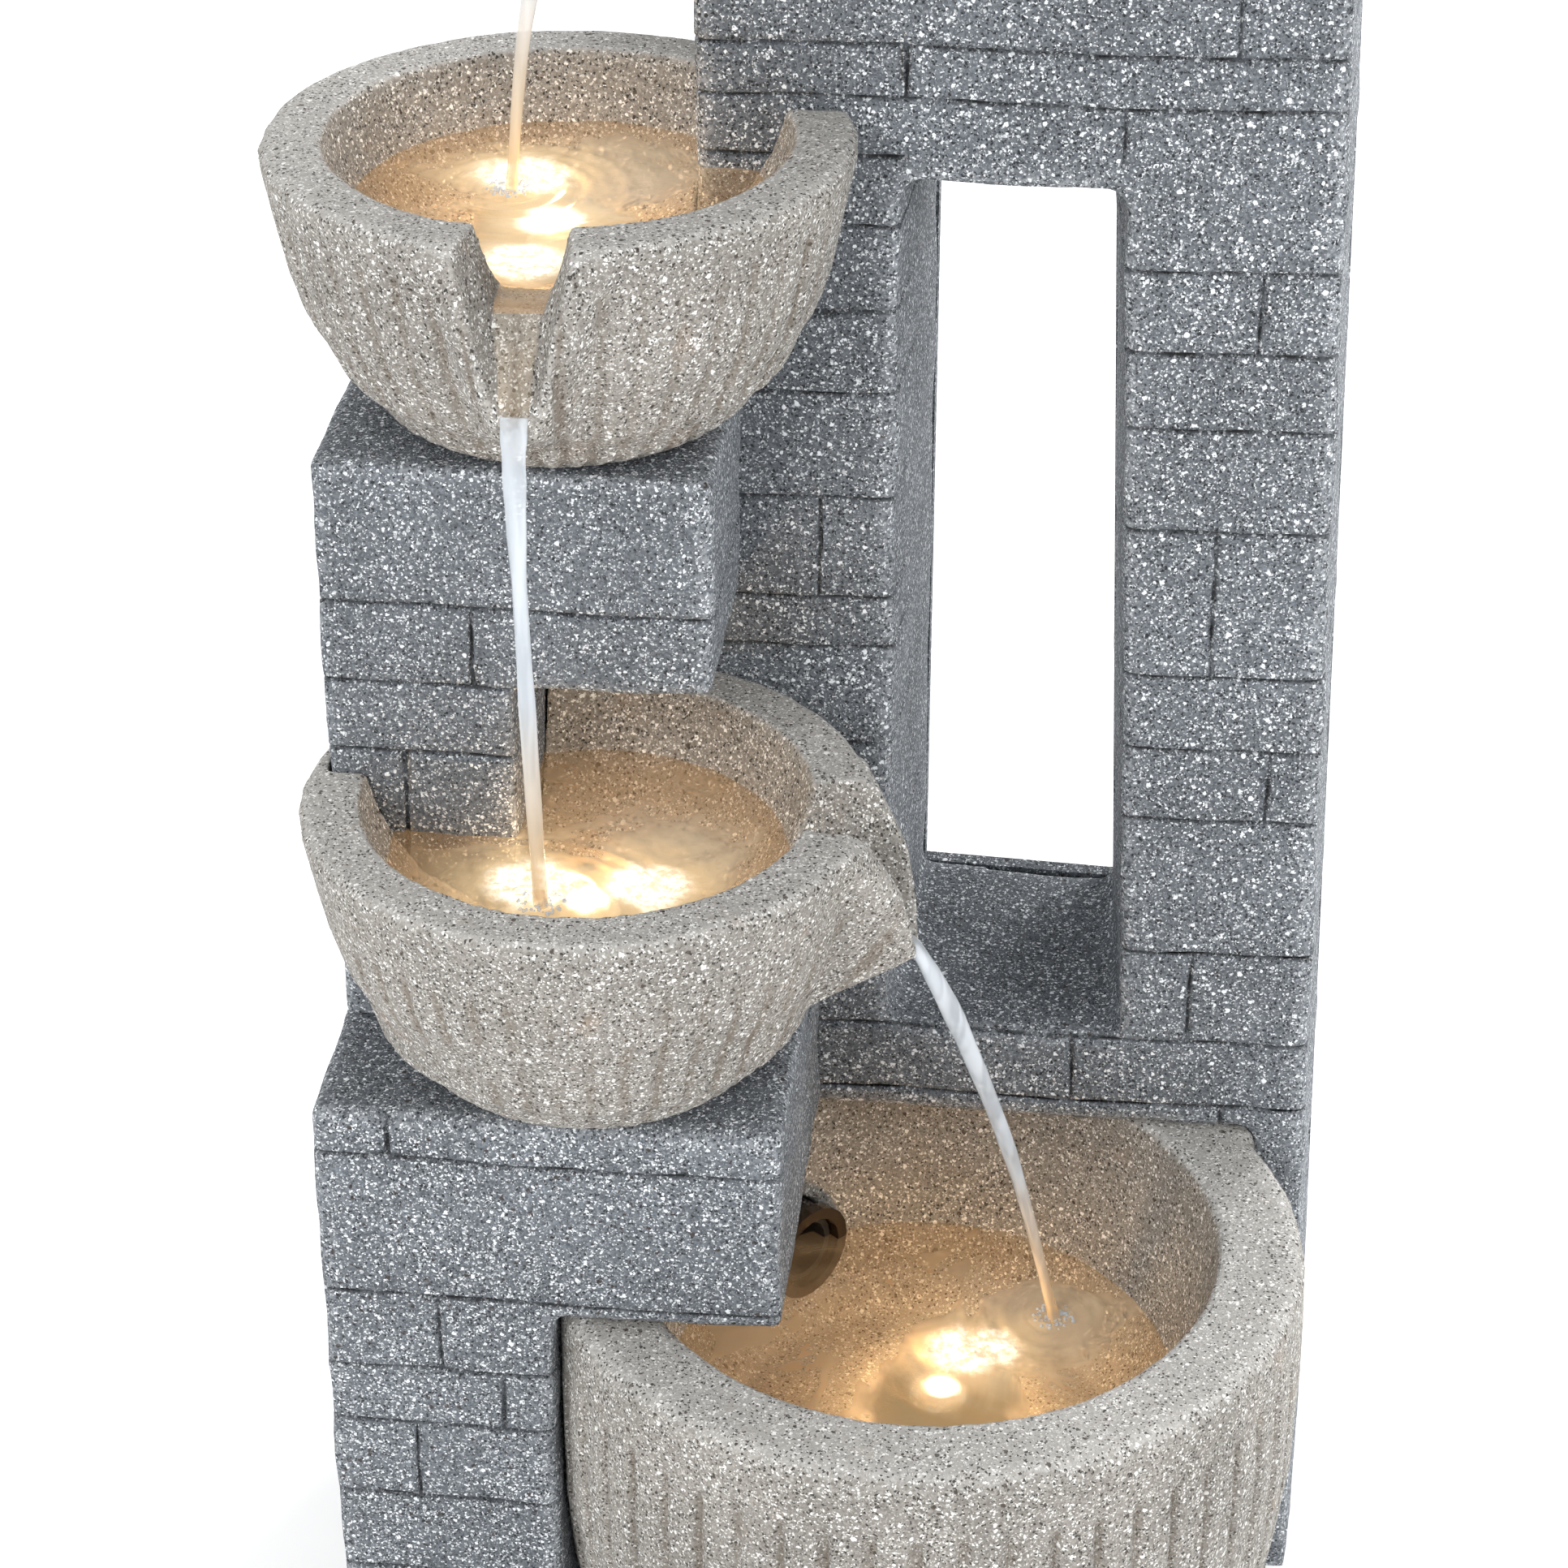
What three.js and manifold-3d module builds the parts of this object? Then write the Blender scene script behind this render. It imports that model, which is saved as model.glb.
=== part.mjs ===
// Tabletop water fountain: a stone-effect resin wall with a window, two stepped pedestals, three
// spouted bowls and a basin, with the pump, the lights and the plumbing inside.
// Millimetres, +Z up, +X to the right and -Y towards the front. While it is built, y = 0 is the
// front plane of the wall and z = 0 is the surface that the fountain stands on.
import * as THREE from "three";
import { ConvexGeometry } from "three/addons/geometries/ConvexGeometry.js";
import { mergeVertices } from "three/addons/utils/BufferGeometryUtils.js";
import Module from "manifold-3d";

const wasm = await Module();
wasm.setup();

// ---------------------------------------------------------------- driving dimensions
const GAP = 0.3; // between two pieces that touch
const SKIN = 4; // resin wall thickness
const FOOT_H = 2.1; // rubber feet, at x and y
const FEET = {
  front_left: [-68, -58], front_right: [42, -64], rear_left: [-74, 42], rear_right: [78, 42],
};
const PLATE_Z0 = 2.4; // base plate
const PLATE_Z1 = 5.4;
const SHELL_Z = 5.7; // underside of every resin shell

// The wall's right side leans in towards the top and spreads towards the back by its draft.
const WALL = {
  left: -27.3, rightFoot: 91.9, rightTop: 81.4, draft: 3.2, front: 0, back: 54, top: 353,
};
const WINDOW = { sill: 136.5, head: 308.3, left: 7.8, rightSill: 52.3, rightHead: 46, draft: 3.4 };
const SOFFIT_Z = 116.5; // underside of the wall where it stands over the basin
const COVER = { y0: 54.3, y1: 57.3 }; // rear covers

const UPPER = { left: -87.3, right: -19.5, front: -43.3, top: 272.2, step: 231, stem: -54.5 };
const LOWER = { left: -88, right: -5, front: -72.8, top: 160.4, step: 118, stem: -46.3 };
const COLUMN_RIGHT = -27.6; // right face of both pedestals behind the wall's front plane

const CAP = { left: -34, right: 88, front: -12, back: 57.3, z0: 353.3, z1: 373.4 };

const BOWL_R = 50;
const BOWL_FLOOR = 26; // depth of a bowl's floor below its rim
const BOWL_POCKET = { r: 20, roof: 34 }; // hollow under a bowl's floor
const BOWLS = {
  top: { x: 21, y: 6, rim: 423, foot: 49.3, spout: { turn: -165, tip: 57.8, drop: 28 } },
  upper: { x: -47.8, y: -15.7, rim: 321.5, foot: 49, spout: { turn: -90, tip: 52, drop: 31 } },
  middle: { x: -41.4, y: -46.5, rim: 212.8, foot: 52.1, spout: { turn: 0, tip: 57.8, drop: 28 } },
};
const BASIN = { x: 18.3, y: -36.8, rim: 115.3, r: 71, floor: 67.3 };
const BOWL_SIDES = 36;
const BASIN_SIDES = 44;
const BASIN_OUTSIDE = [
  [46, SHELL_Z], [55, 14], [61, 25], [65.5, 38], [68.3, 52], [70.6, 72], [BASIN.r, 90],
  [70.4, BASIN.rim - 2], [68.6, BASIN.rim],
];
const BASIN_CLEAR = 0.4; // gap round the basin in the pieces that it stands in

const LIGHTS = {
  top: { x: 29, y: 6, floor: 397 },
  upper: { x: -49.3, y: -10.7, floor: 295.5 },
  middle: { x: -40.6, y: -51.5, floor: 186.8 },
  basin: { x: 21, y: -29.9, floor: 67.3 },
};
const LEAD_R = 1.2;

const DUCT = { from: [-7.8, -1.2], to: [-46.5, 29.55], z: 82, r: 7.2, bore: 5.8 };
const TANK = { x0: -82, x1: -43, y0: 5, y1: 46, z0: 5.7, z1: 98, wall: 2.5 };
const DRAIN = { x: -62, z: 16, r: 5, bore: 3 };
const DOOR = { x0: -77, x1: -37, z0: 100, z1: 158, gap: 0.4 };
const HINGE = {
  x: -78.5, y: 59.2, r: 1.9, pin: 0.9, bore: 0.97, knuckles: [[106, 117.5], [140.5, 152]],
};
const LATCH = { x: -43, z: 129, r: 1.6 };

const PUMP = { x: -63, y: 8, z: 26, half: 15, front: 25.5 };
const SHAFT_R = 1;
const HOSE = { r: 5.5, bore: 4.3 };
const INLET = { x: 12, y: 12 };
const BOX = { x0: -83, x1: -58, y0: 10, y1: 36, z0: 172, z1: 202, wall: 1.6 };
const GLAND = { x: -80, z: 20 };

// Holes for the hose and the leads: x, y and z from and to.
const PORTS = {
  hose: [-33, -19.5, 21, 35, 129, 150],
  high: [-33, -22, 38, 50, 180, 190],
  low: [-33, -22, 37, 50, 26, 43],
  top: [4, 36, 4.5, 20, 340, 390],
  basinLead: [-3, 14, 2, 45, 11, 24],
};
const LAMP_HOLE_R = 3.9;
const LEAD_HOLE_R = 8;
const SCREW = { boss: 9, hole: 1.6, shank: 1.3, head: 2.8, slot: 0.8 };
const WALL_SCREWS = [[-19, 330], [73, 330], [82, 26]];
const COLUMN_SCREWS = [[-79, 262], [-36, 60]];
const SPOUT_LIP = 12.6; // depth of a spout's lip below the rim
const OUTLET = { top: 47, inset: 4.4 }; // the pump's outlet, its axis behind the chamber's back face
const OUTLET_Y = PUMP.front + GAP + OUTLET.inset;
const FAR = 200; // past every face of the object

// ---------------------------------------------------------------- materials
function finish(colour, roughness, metalness = 0) {
  return new THREE.MeshStandardMaterial({ color: colour, roughness, metalness });
}
const MATERIAL = {
  wallStone: finish(0x8b9096, 0.9),
  bowlStone: finish(0xb0aaa2, 0.9),
  blackPlastic: finish(0x1d1e20, 0.5),
  greyPlastic: finish(0x55585c, 0.55),
  clearHose: finish(0xc9d4d6, 0.25),
  rubber: finish(0x161616, 0.8),
  steel: finish(0xb8babd, 0.3, 1),
  warmLens: finish(0xffe0a8, 0.2),
  lead: finish(0x101010, 0.6),
};

// ---------------------------------------------------------------- solids
// A closed geometry as a solid, whichever way its faces point.
function solid(geometry) {
  const bare = geometry.clone();
  bare.deleteAttribute("normal");
  bare.deleteAttribute("uv");
  const merged = mergeVertices(bare, 1e-4);
  const index = merged.index.array;
  const faces = [];
  for (let i = 0; i < index.length; i += 3) {
    const [a, b, c] = [index[i], index[i + 1], index[i + 2]];
    if (a !== b && b !== c && c !== a) faces.push(a, b, c);
  }
  const made = fromFaces(merged, faces);
  if (made.volume() > 0) return made;
  return fromFaces(merged, faces.slice().reverse());
}

function fromFaces(merged, faces) {
  return new wasm.Manifold(
    new wasm.Mesh({
      numProp: 3,
      vertProperties: merged.attributes.position.array,
      triVerts: new Uint32Array(faces),
    }),
  );
}

function outline(points) {
  return new THREE.Shape(points.map(([a, b]) => new THREE.Vector2(a, b)));
}

function ring(r, sides, turn = 0) {
  return Array.from({ length: sides }, (_, i) => {
    const a = turn + (2 * Math.PI * i) / sides;
    return [r * Math.cos(a), r * Math.sin(a)];
  });
}

function block(x0, x1, y0, y1, z0, z1) {
  const g = new THREE.BoxGeometry(x1 - x0, y1 - y0, z1 - z0);
  return solid(g.translate((x0 + x1) / 2, (y0 + y1) / 2, (z0 + z1) / 2));
}

// An outline in x and y, raised from z0 to z1.
function slab(points, z0, z1) {
  const g = new THREE.ExtrudeGeometry(outline(points), { depth: z1 - z0, bevelEnabled: false });
  return solid(g.translate(0, 0, z0));
}

// An outline in x and z, run from y0 to y1.
function panel(points, y0, y1) {
  const g = new THREE.ExtrudeGeometry(outline(points), { depth: y1 - y0, bevelEnabled: false });
  return solid(g.rotateX(Math.PI / 2).translate(0, y1, 0));
}

function hull(points) {
  return solid(new ConvexGeometry(points.map((p) => new THREE.Vector3(...p))));
}

// A profile of [radius, z] turned about a vertical axis at x, y.
function turned(profile, x, y, sides = 24) {
  const g = new THREE.LatheGeometry(outline(profile).getPoints(), sides);
  return solid(g.rotateX(Math.PI / 2).translate(x, y, 0));
}

// The same, about an axis along Y at x, z: the profile is [radius, y].
function turnedY(profile, x, z, sides = 16) {
  const g = new THREE.LatheGeometry(outline(profile).getPoints(), sides);
  return solid(g.translate(x, 0, z));
}

function disc(r, x, y, z0, z1, sides = 24) {
  return turned([[0, z0], [r, z0], [r, z1], [0, z1]], x, y, sides);
}

function discY(r, x, z, y0, y1, sides = 16) {
  return turnedY([[0, y0], [r, y0], [r, y1], [0, y1]], x, z, sides);
}

// A straight round bar between two points.
function bar(r, from, to, sides = 16) {
  return tube([from, to], r, 1, sides);
}

// A round tube along a smooth path through the points; bore is its inner radius, if it has one.
function tube(points, r, steps, sides = 8, bore = 0) {
  const stops = points.map((p) => new THREE.Vector3(...p));
  const path = new THREE.CatmullRomCurve3(stops, false, "centripetal");
  const section = outline(ring(r, sides));
  if (bore) section.holes.push(new THREE.Path(outline(ring(bore, sides)).getPoints()));
  return solid(new THREE.ExtrudeGeometry(section, { steps, extrudePath: path }));
}

const fountain = new THREE.Group();

function add(name, shape, material) {
  const mesh = shape.getMesh();
  const g = new THREE.BufferGeometry();
  g.setAttribute("position", new THREE.BufferAttribute(mesh.vertProperties.slice(), 3));
  g.setIndex(new THREE.BufferAttribute(mesh.triVerts.slice(), 1));
  const flat = g.toNonIndexed();
  flat.computeVertexNormals();
  const piece = new THREE.Mesh(flat, material);
  piece.name = name;
  fountain.add(piece);
}

// ---------------------------------------------------------------- wall, window and rear covers
function wallRight(y, z) {
  const lean = ((WALL.rightTop - WALL.rightFoot) * z) / WALL.top;
  return WALL.rightFoot + lean + (WALL.draft * y) / COVER.y1;
}

// The wall between two y planes and two heights, grown sideways by d.
function wallBody(y0, y1, z0, z1, d) {
  const corners = [];
  for (const y of [y0, y1]) {
    for (const z of [z0, z1]) corners.push([WALL.left - d, y, z], [wallRight(y, z) + d, y, z]);
  }
  return hull(corners);
}

// The window's opening between two y planes, grown by d all round. It narrows towards the back.
function windowHull(y0, y1, d) {
  const corners = [];
  for (const y of [y0, y1]) {
    const t = (WINDOW.draft * y) / COVER.y1;
    corners.push([WINDOW.left + t - d, y, WINDOW.sill + t - d]);
    corners.push([WINDOW.rightSill - t + d, y, WINDOW.sill + t * 0.6 - d]);
    corners.push([WINDOW.rightHead - t + d, y, WINDOW.head - t * 0.7 + d]);
    corners.push([WINDOW.left + t - d, y, WINDOW.head - t * 0.7 + d]);
  }
  return hull(corners);
}

function bossAt([x, z]) {
  const h = SCREW.boss / 2;
  return block(x - h - 5, x + h + 5, 44, WALL.back, z - h, z + h);
}

function screwHole([x, z]) {
  return discY(SCREW.hole, x, z, 45.5, COVER.y1 + 1, 8);
}

function basinClearance() {
  const { x, y, r } = BASIN;
  const column = block(-FAR, LOWER.stem - GAP, -FAR, 0, 0, 2 * FAR);
  const room = BASIN_OUTSIDE.slice(0, -2).map(([out, z]) => [out + BASIN_CLEAR, z]);
  const top = SOFFIT_Z - GAP;
  const profile = [[0, 0], [room[0][0], 0], ...room, [r + BASIN_CLEAR, top], [0, top], [0, 0]];
  return turned(profile, x, y, BASIN_SIDES).subtract(column);
}

function ductClearance() {
  const z = DUCT.z;
  return bar(DUCT.r + 0.5, [...DUCT.from, z], [...DUCT.to, z]);
}

function wallShell() {
  const { front, back, top } = WALL;
  const outer = wallBody(front, back, SHELL_Z, top, 0);
  const inner = wallBody(front + SKIN, back + 1, 0, top - SKIN, -SKIN);
  const soffit = wallBody(front + 1, back, SOFFIT_Z, SOFFIT_Z + SKIN, -1);
  const frame = windowHull(front + 0.5, back, SKIN);
  let wall = outer.subtract(inner).add(soffit).add(frame);
  for (const at of WALL_SCREWS) wall = wall.add(bossAt(at).intersect(outer));
  for (const at of WALL_SCREWS) wall = wall.subtract(screwHole(at));
  for (const port of ["hose", "high", "low", "top"]) wall = wall.subtract(block(...PORTS[port]));
  return wall
    .subtract(windowHull(-1, COVER.y1 + 1, 0))
    .subtract(basinClearance())
    .subtract(ductClearance());
}

function wallCover() {
  let cover = wallBody(COVER.y0, COVER.y1, SHELL_Z, WALL.top, 0);
  for (const at of WALL_SCREWS) cover = cover.subtract(screwHole(at));
  return cover.subtract(windowHull(-1, COVER.y1 + 1, 0));
}

function columnCover() {
  const edge = COLUMN_RIGHT - GAP;
  let cover = block(UPPER.left, edge, COVER.y0, COVER.y1, SHELL_Z, UPPER.top).subtract(
    block(DOOR.x0, DOOR.x1, 50, 60, DOOR.z0, DOOR.z1),
  );
  for (const [z0, z1] of HINGE.knuckles) cover = cover.add(knuckle(HINGE.x, HINGE.x - 5, z0, z1));
  for (const at of COLUMN_SCREWS) cover = cover.subtract(screwHole(at));
  return cover
    .subtract(discY(DRAIN.r + 0.4, DRAIN.x, DRAIN.z, 50, 60))
    .subtract(discY(3.4, GLAND.x, GLAND.z, 50, 60))
    .subtract(hingeBore());
}

// A hinge knuckle with a leaf that runs along X, proud of the cover, and sinks into its carrier
// from x = root to x = end.
function knuckle(root, end, z0, z1) {
  const [x0, x1] = [Math.min(HINGE.x, end), Math.max(HINGE.x, end)];
  const top = HINGE.y - 0.8;
  return disc(HINGE.r, HINGE.x, HINGE.y, z0, z1, 12)
    .add(block(x0, x1, COVER.y1 + GAP, top, z0, z1))
    .add(block(Math.min(root, end), Math.max(root, end), COVER.y1 - 0.5, top, z0, z1));
}

function hingeBore() {
  return disc(HINGE.bore, HINGE.x, HINGE.y, 0, 300, 16);
}

function rearDoor() {
  const g = DOOR.gap;
  return block(DOOR.x0 + g, DOOR.x1 - g, COVER.y0 + GAP, COVER.y1, DOOR.z0 + g, DOOR.z1 - g)
    .add(knuckle(DOOR.x0 + 1, HINGE.x + 5.5, 118, 140))
    .subtract(hingeBore())
    .subtract(discY(LATCH.r + 0.06, LATCH.x, LATCH.z, 50, 60));
}

// Knob, shaft and cam in one: the cam stands upright, clear of the cover, when it is unlocked.
function doorLatch() {
  const { x, z, r } = LATCH;
  return discY(r, x, z, 52, 59)
    .add(discY(5, x, z, 57.6, 58.8))
    .add(block(x - 1.2, x + 1.2, 58.5, 61, z - 4.5, z + 4.5))
    .add(block(x - 2, x + 2, 51.5, 54, z - 2, z + 9));
}

function rearScrew([x, z]) {
  const { head, shank, slot } = SCREW;
  const y = COVER.y1 + GAP;
  const dome = [[0, y], [head, y], [head - 0.3, y + 0.8], [head / 2, y + 1.3], [0, y + 1.4]];
  const cut = block(x - 2, x + 2, y + 0.7, y + 2, z - slot / 2, z + slot / 2);
  return turnedY(dome, x, z, 12).subtract(cut).add(discY(shank, x, z, 47, y + 0.2, 8));
}

// ---------------------------------------------------------------- pedestals
// A pedestal's plan: the front part ends at x = right, the rear part runs back beside the wall.
function pedestalPlan(left, right, front, d, open) {
  const inFront = right > COLUMN_RIGHT ? WALL.front - GAP - d : WALL.front + 0.5 + d;
  const rear = WALL.back + open;
  return [
    [left + d, front + d], [right - d, front + d], [right - d, inFront],
    [COLUMN_RIGHT - d, inFront], [COLUMN_RIGHT - d, rear], [left + d, rear],
  ];
}

function pedestal(p, stemFoot) {
  const outer = slab(pedestalPlan(p.left, p.right, p.front, 0, 0), p.step, p.top).add(
    slab(pedestalPlan(p.left, p.stem, p.front, 0, 0), stemFoot, p.step + 1),
  );
  const inner = slab(
    pedestalPlan(p.left, p.right, p.front, SKIN, 1), p.step + SKIN, p.top - SKIN,
  ).add(slab(pedestalPlan(p.left, p.stem, p.front, SKIN, 1), stemFoot - 1, p.step + SKIN + 1));
  return outer.subtract(inner);
}

function upperPedestal() {
  const { x, y } = LIGHTS.upper;
  let body = pedestal(UPPER, LOWER.top + GAP);
  body = body.add(bossAt(COLUMN_SCREWS[0]).intersect(block(-86, -60, 0, 54, 240, 272)));
  return body
    .subtract(disc(LEAD_HOLE_R, x, y, 260, 280, 16))
    .subtract(screwHole(COLUMN_SCREWS[0]))
    .subtract(block(...PORTS.high));
}

function lowerPedestal() {
  const { x, y } = LIGHTS.middle;
  let body = pedestal(LOWER, SHELL_Z);
  body = body.add(bossAt(COLUMN_SCREWS[1]).intersect(block(-41, -29, 0, 54, 40, 80)));
  return body
    .subtract(disc(LEAD_HOLE_R, x, y, 150, 165, 16))
    .subtract(block(-82.5, -35, 8, 52, 150, 165))
    .subtract(screwHole(COLUMN_SCREWS[1]))
    .subtract(basinClearance())
    .subtract(ductClearance())
    .subtract(block(...PORTS.hose))
    .subtract(block(...PORTS.low));
}

function capstone() {
  const { left, right, front, back, z0, z1 } = CAP;
  return block(left, right, front, back, z0, z1).subtract(block(...PORTS.top));
}

// ---------------------------------------------------------------- bowls and basin
// The bowl's wall, from the middle of its foot round the outside to the middle of its floor.
function bowlProfile(rim, foot) {
  const outside = [
    [26, foot], [32, foot - 3.7], [34.6, foot - 8.1], [38.5, foot - 11], [41.8, 30.5],
    [44, 27], [46, 20.5], [48.3, 9], [BOWL_R - 0.3, 1.4], [BOWL_R - 1.6, 0],
  ];
  const inside = [[39.4, 0], [37.4, 7], [34.8, 12.4], [30, 19.4], [19, BOWL_FLOOR]];
  const line = [...outside, ...inside].map(([r, depth]) => [r, rim - depth]);
  return [[0, rim - foot], ...line, [0, rim - BOWL_FLOOR]];
}

// Places a point of a spout: u is outwards, v across and w up from the rim.
function spoutPoint(bowl, [u, v, w]) {
  const a = THREE.MathUtils.degToRad(bowl.spout.turn);
  return [
    bowl.x + u * Math.cos(a) - v * Math.sin(a),
    bowl.y + u * Math.sin(a) + v * Math.cos(a),
    bowl.rim + w,
  ];
}

function mirrored(points) {
  return points.flatMap(([u, v, w]) => [[u, v, w], [u, -v, w]]);
}

function spoutBeak(bowl) {
  const { tip, drop } = bowl.spout;
  const points = mirrored([
    [46.4, 18, 0], [38, 9.5, 0], [50, 10, -2], [(50 + tip) / 2 + 1.4, 8, -drop * 0.45],
    [tip - 0.8, 5.6, -drop * 0.75], [tip, 3.4, -drop], [tip - 7, 3, -drop - 4.5],
    [36, 9, -38], [38, 14, -20],
  ]);
  return hull(points.map((p) => spoutPoint(bowl, p)));
}

function spoutNotch(bowl) {
  const { tip, drop } = bowl.spout;
  const gate = mirrored([
    [33, 7.4, 2], [47, 9.6, 2], [33, 4, -SPOUT_LIP], [44.5, 4, -SPOUT_LIP],
  ]);
  const chute = mirrored([
    [43.8, 9, 2], [tip + 12, 13, 2], [43.8, 4, -SPOUT_LIP], [tip + 2, 2.3, -drop - 1],
    [tip + 12, 3, -drop - 1],
  ]);
  return hull(gate.map((p) => spoutPoint(bowl, p))).add(
    hull(chute.map((p) => spoutPoint(bowl, p))),
  );
}

function bowlShell(bowl, light) {
  const pocketRoof = bowl.rim - BOWL_POCKET.roof;
  return turned(bowlProfile(bowl.rim, bowl.foot), bowl.x, bowl.y, BOWL_SIDES)
    .add(spoutBeak(bowl))
    .subtract(spoutNotch(bowl))
    .subtract(disc(BOWL_POCKET.r, bowl.x, bowl.y, bowl.rim - bowl.foot - 1, pocketRoof, 16))
    .subtract(disc(LAMP_HOLE_R, light.x, light.y, pocketRoof - 2, light.floor + 2, 12));
}

function topBowl() {
  return bowlShell(BOWLS.top, LIGHTS.top).subtract(disc(5.3, INLET.x, INLET.y, 380, 400, 12));
}

// The wall's front left corner stands in the upper bowl.
function upperBowl() {
  const corner = block(WALL.left - GAP, FAR, WALL.front - GAP, FAR, 250, 360);
  return bowlShell(BOWLS.upper, LIGHTS.upper).subtract(corner);
}

// The upper pedestal's stem and the wall stand in the middle bowl.
function middleBowl() {
  const stem = slab(pedestalPlan(UPPER.left, UPPER.stem, UPPER.front, -GAP, 0), 150, 240);
  const wall = block(WALL.left - GAP, FAR, WALL.front - GAP, FAR, 150, 240);
  return bowlShell(BOWLS.middle, LIGHTS.middle).subtract(stem).subtract(wall);
}

function basinShell() {
  const { x, y, rim, floor } = BASIN;
  const inside = [[54.6, rim], [52, 100], [48.6, 84], [44, 73], [37, floor]];
  const under = [
    [40, floor - 7], [50, 70], [58, 88], [62, 84], [62, 60], [56, 36], [40, SHELL_Z],
  ];
  const profile = [...BASIN_OUTSIDE, ...inside, [0, floor], [0, floor - 7], ...under];
  const light = LIGHTS.basin;
  return turned(profile.concat([profile[0]]), x, y, BASIN_SIDES)
    .subtract(block(-FAR, LOWER.stem + GAP, -FAR, FAR, 0, FAR))
    .subtract(disc(LAMP_HOLE_R, light.x, light.y, 50, 70, 12))
    .subtract(block(...PORTS.basinLead))
    .subtract(bar(9.1, [...alongDuct(-12), DUCT.z], [...DUCT.to, DUCT.z]))
    .subtract(bar(10.2, [...alongDuct(-12), DUCT.z], [...alongDuct(GAP), DUCT.z]));
}

// The point of the return duct's axis, t millimetres from its mouth.
function alongDuct(t) {
  const [ax, ay] = DUCT.from;
  const [bx, by] = DUCT.to;
  const length = Math.hypot(bx - ax, by - ay);
  return [ax + ((bx - ax) * t) / length, ay + ((by - ay) * t) / length];
}

// ---------------------------------------------------------------- water circuit
function ductPipe(r, bore, t0, t1, sides = 20) {
  const ends = [[...alongDuct(t0), DUCT.z], [...alongDuct(t1), DUCT.z]];
  return tube(ends, r, 1, sides, bore);
}

function returnGrommet() {
  return ductPipe(8.8, DUCT.r + GAP, -0.4, 9).add(ductPipe(9.9, DUCT.r + GAP, -2.2, 0));
}

function pumpTank() {
  const { x0, x1, y0, y1, z0, z1, wall } = TANK;
  return block(x0, x1, y0, y1, z0, z1)
    .subtract(block(x0 + wall, x1 - wall, y0 + wall, y1 - wall, z0 + wall, z1 + 1))
    .add(discY(DRAIN.r, DRAIN.x, DRAIN.z, y1 - 1, 57.3, 16))
    .subtract(discY(DRAIN.bore, DRAIN.x, DRAIN.z, y1 - wall - 1, 60, 16))
    .subtract(ductClearance());
}

function drainPlug() {
  const { x, z } = DRAIN;
  const profile = [
    [0, 50], [2.3, 50], [2.8, 51], [2.8, 57.6], [6, 57.6], [6, 58.8], [4, 59.5], [0, 59.5],
  ];
  return turnedY(profile, x, z, 20).add(block(x - 1, x + 1, 59, 61, z - 3.5, z + 3.5));
}

// ---------------------------------------------------------------- pump, its axis along Y
function pumpHousing() {
  const { x, y, z, half, front } = PUMP;
  const r = 3;
  const w = half;
  const h = 14;
  const rounded = [
    [x - w + r, z - h], [x + w - r, z - h], [x + w, z - h + r], [x + w, z + h - r],
    [x + w - r, z + h], [x - w + r, z + h], [x - w, z + h - r], [x - w, z - h + r],
  ];
  let body = panel(rounded, y, front);
  for (const rib of [-9, -3, 3, 9].map((dx) => x + dx)) {
    body = body.add(block(rib - 0.8, rib + 0.8, y + 1, front - 4, z + h - 1, z + h + 1.4));
  }
  return body
    .subtract(discY(6.2, x, z, y + 5, front + 1, 24))
    .subtract(discY(SHAFT_R + 0.05, x, z, y + 1, front, 16));
}

function impellerShaft() {
  return discY(SHAFT_R, PUMP.x, PUMP.z, PUMP.y + 1.3, PUMP.front + 7.6, 16);
}

function impeller() {
  const { x, y, z, front } = PUMP;
  const magnet = discY(5.5, x, z, y + 5.6, front + 0.6, 24);
  let wheel = magnet.add(discY(9, x, z, front + 0.6, front + 1.8, 24));
  for (let i = 0; i < 6; i += 1) {
    const a = (i * Math.PI) / 3;
    const vane = hull([
      ...[1.4, 8.6].flatMap((r) => [-0.5, 0.5].flatMap((s) => [1.5, 6].map((t) => [
        x + r * Math.cos(a) - s * Math.sin(a), front + t, z + r * Math.sin(a) + s * Math.cos(a),
      ]))),
    ]);
    wheel = wheel.add(vane);
  }
  return wheel.add(discY(2.4, x, z, front + 1, front + 6.4, 16)).subtract(
    discY(SHAFT_R + 0.06, x, z, y, front + 8, 16),
  );
}

function pumpChamber() {
  const { x, z, front } = PUMP;
  const y0 = front + GAP;
  return discY(13, x, z, y0, y0 + 9, 32)
    .add(disc(4.5, x, OUTLET_Y, z + 6, OUTLET.top, 20))
    .subtract(discY(10.5, x, z, y0 - 1, y0 + 7.6, 32))
    .subtract(disc(3, x, OUTLET_Y, z + 4, OUTLET.top + 1, 16))
    .subtract(discY(4.5, x, z, y0, y0 + 10, 20));
}

function intakeStrainer() {
  const { x, z, half, front } = PUMP;
  const y0 = front + GAP + 9 + GAP;
  const y1 = y0 + 5;
  const w = half - 1;
  let cage = block(x - w, x + w, y0, y1, z - 13, z + 12).subtract(
    block(x - w + 1.6, x + w - 1.6, y0 - 1, y1 - 1.6, z - 11.4, z + 10.4),
  );
  for (let i = -4; i <= 4; i += 1) {
    const slot = block(x + i * 3 - 0.7, x + i * 3 + 0.7, y1 - 3, y1 + 1, z - 10, z + 0.5);
    cage = cage.subtract(slot);
  }
  return cage.subtract(discY(1.56, x, z + 6, y0, y1 + 1, 16));
}

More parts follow.
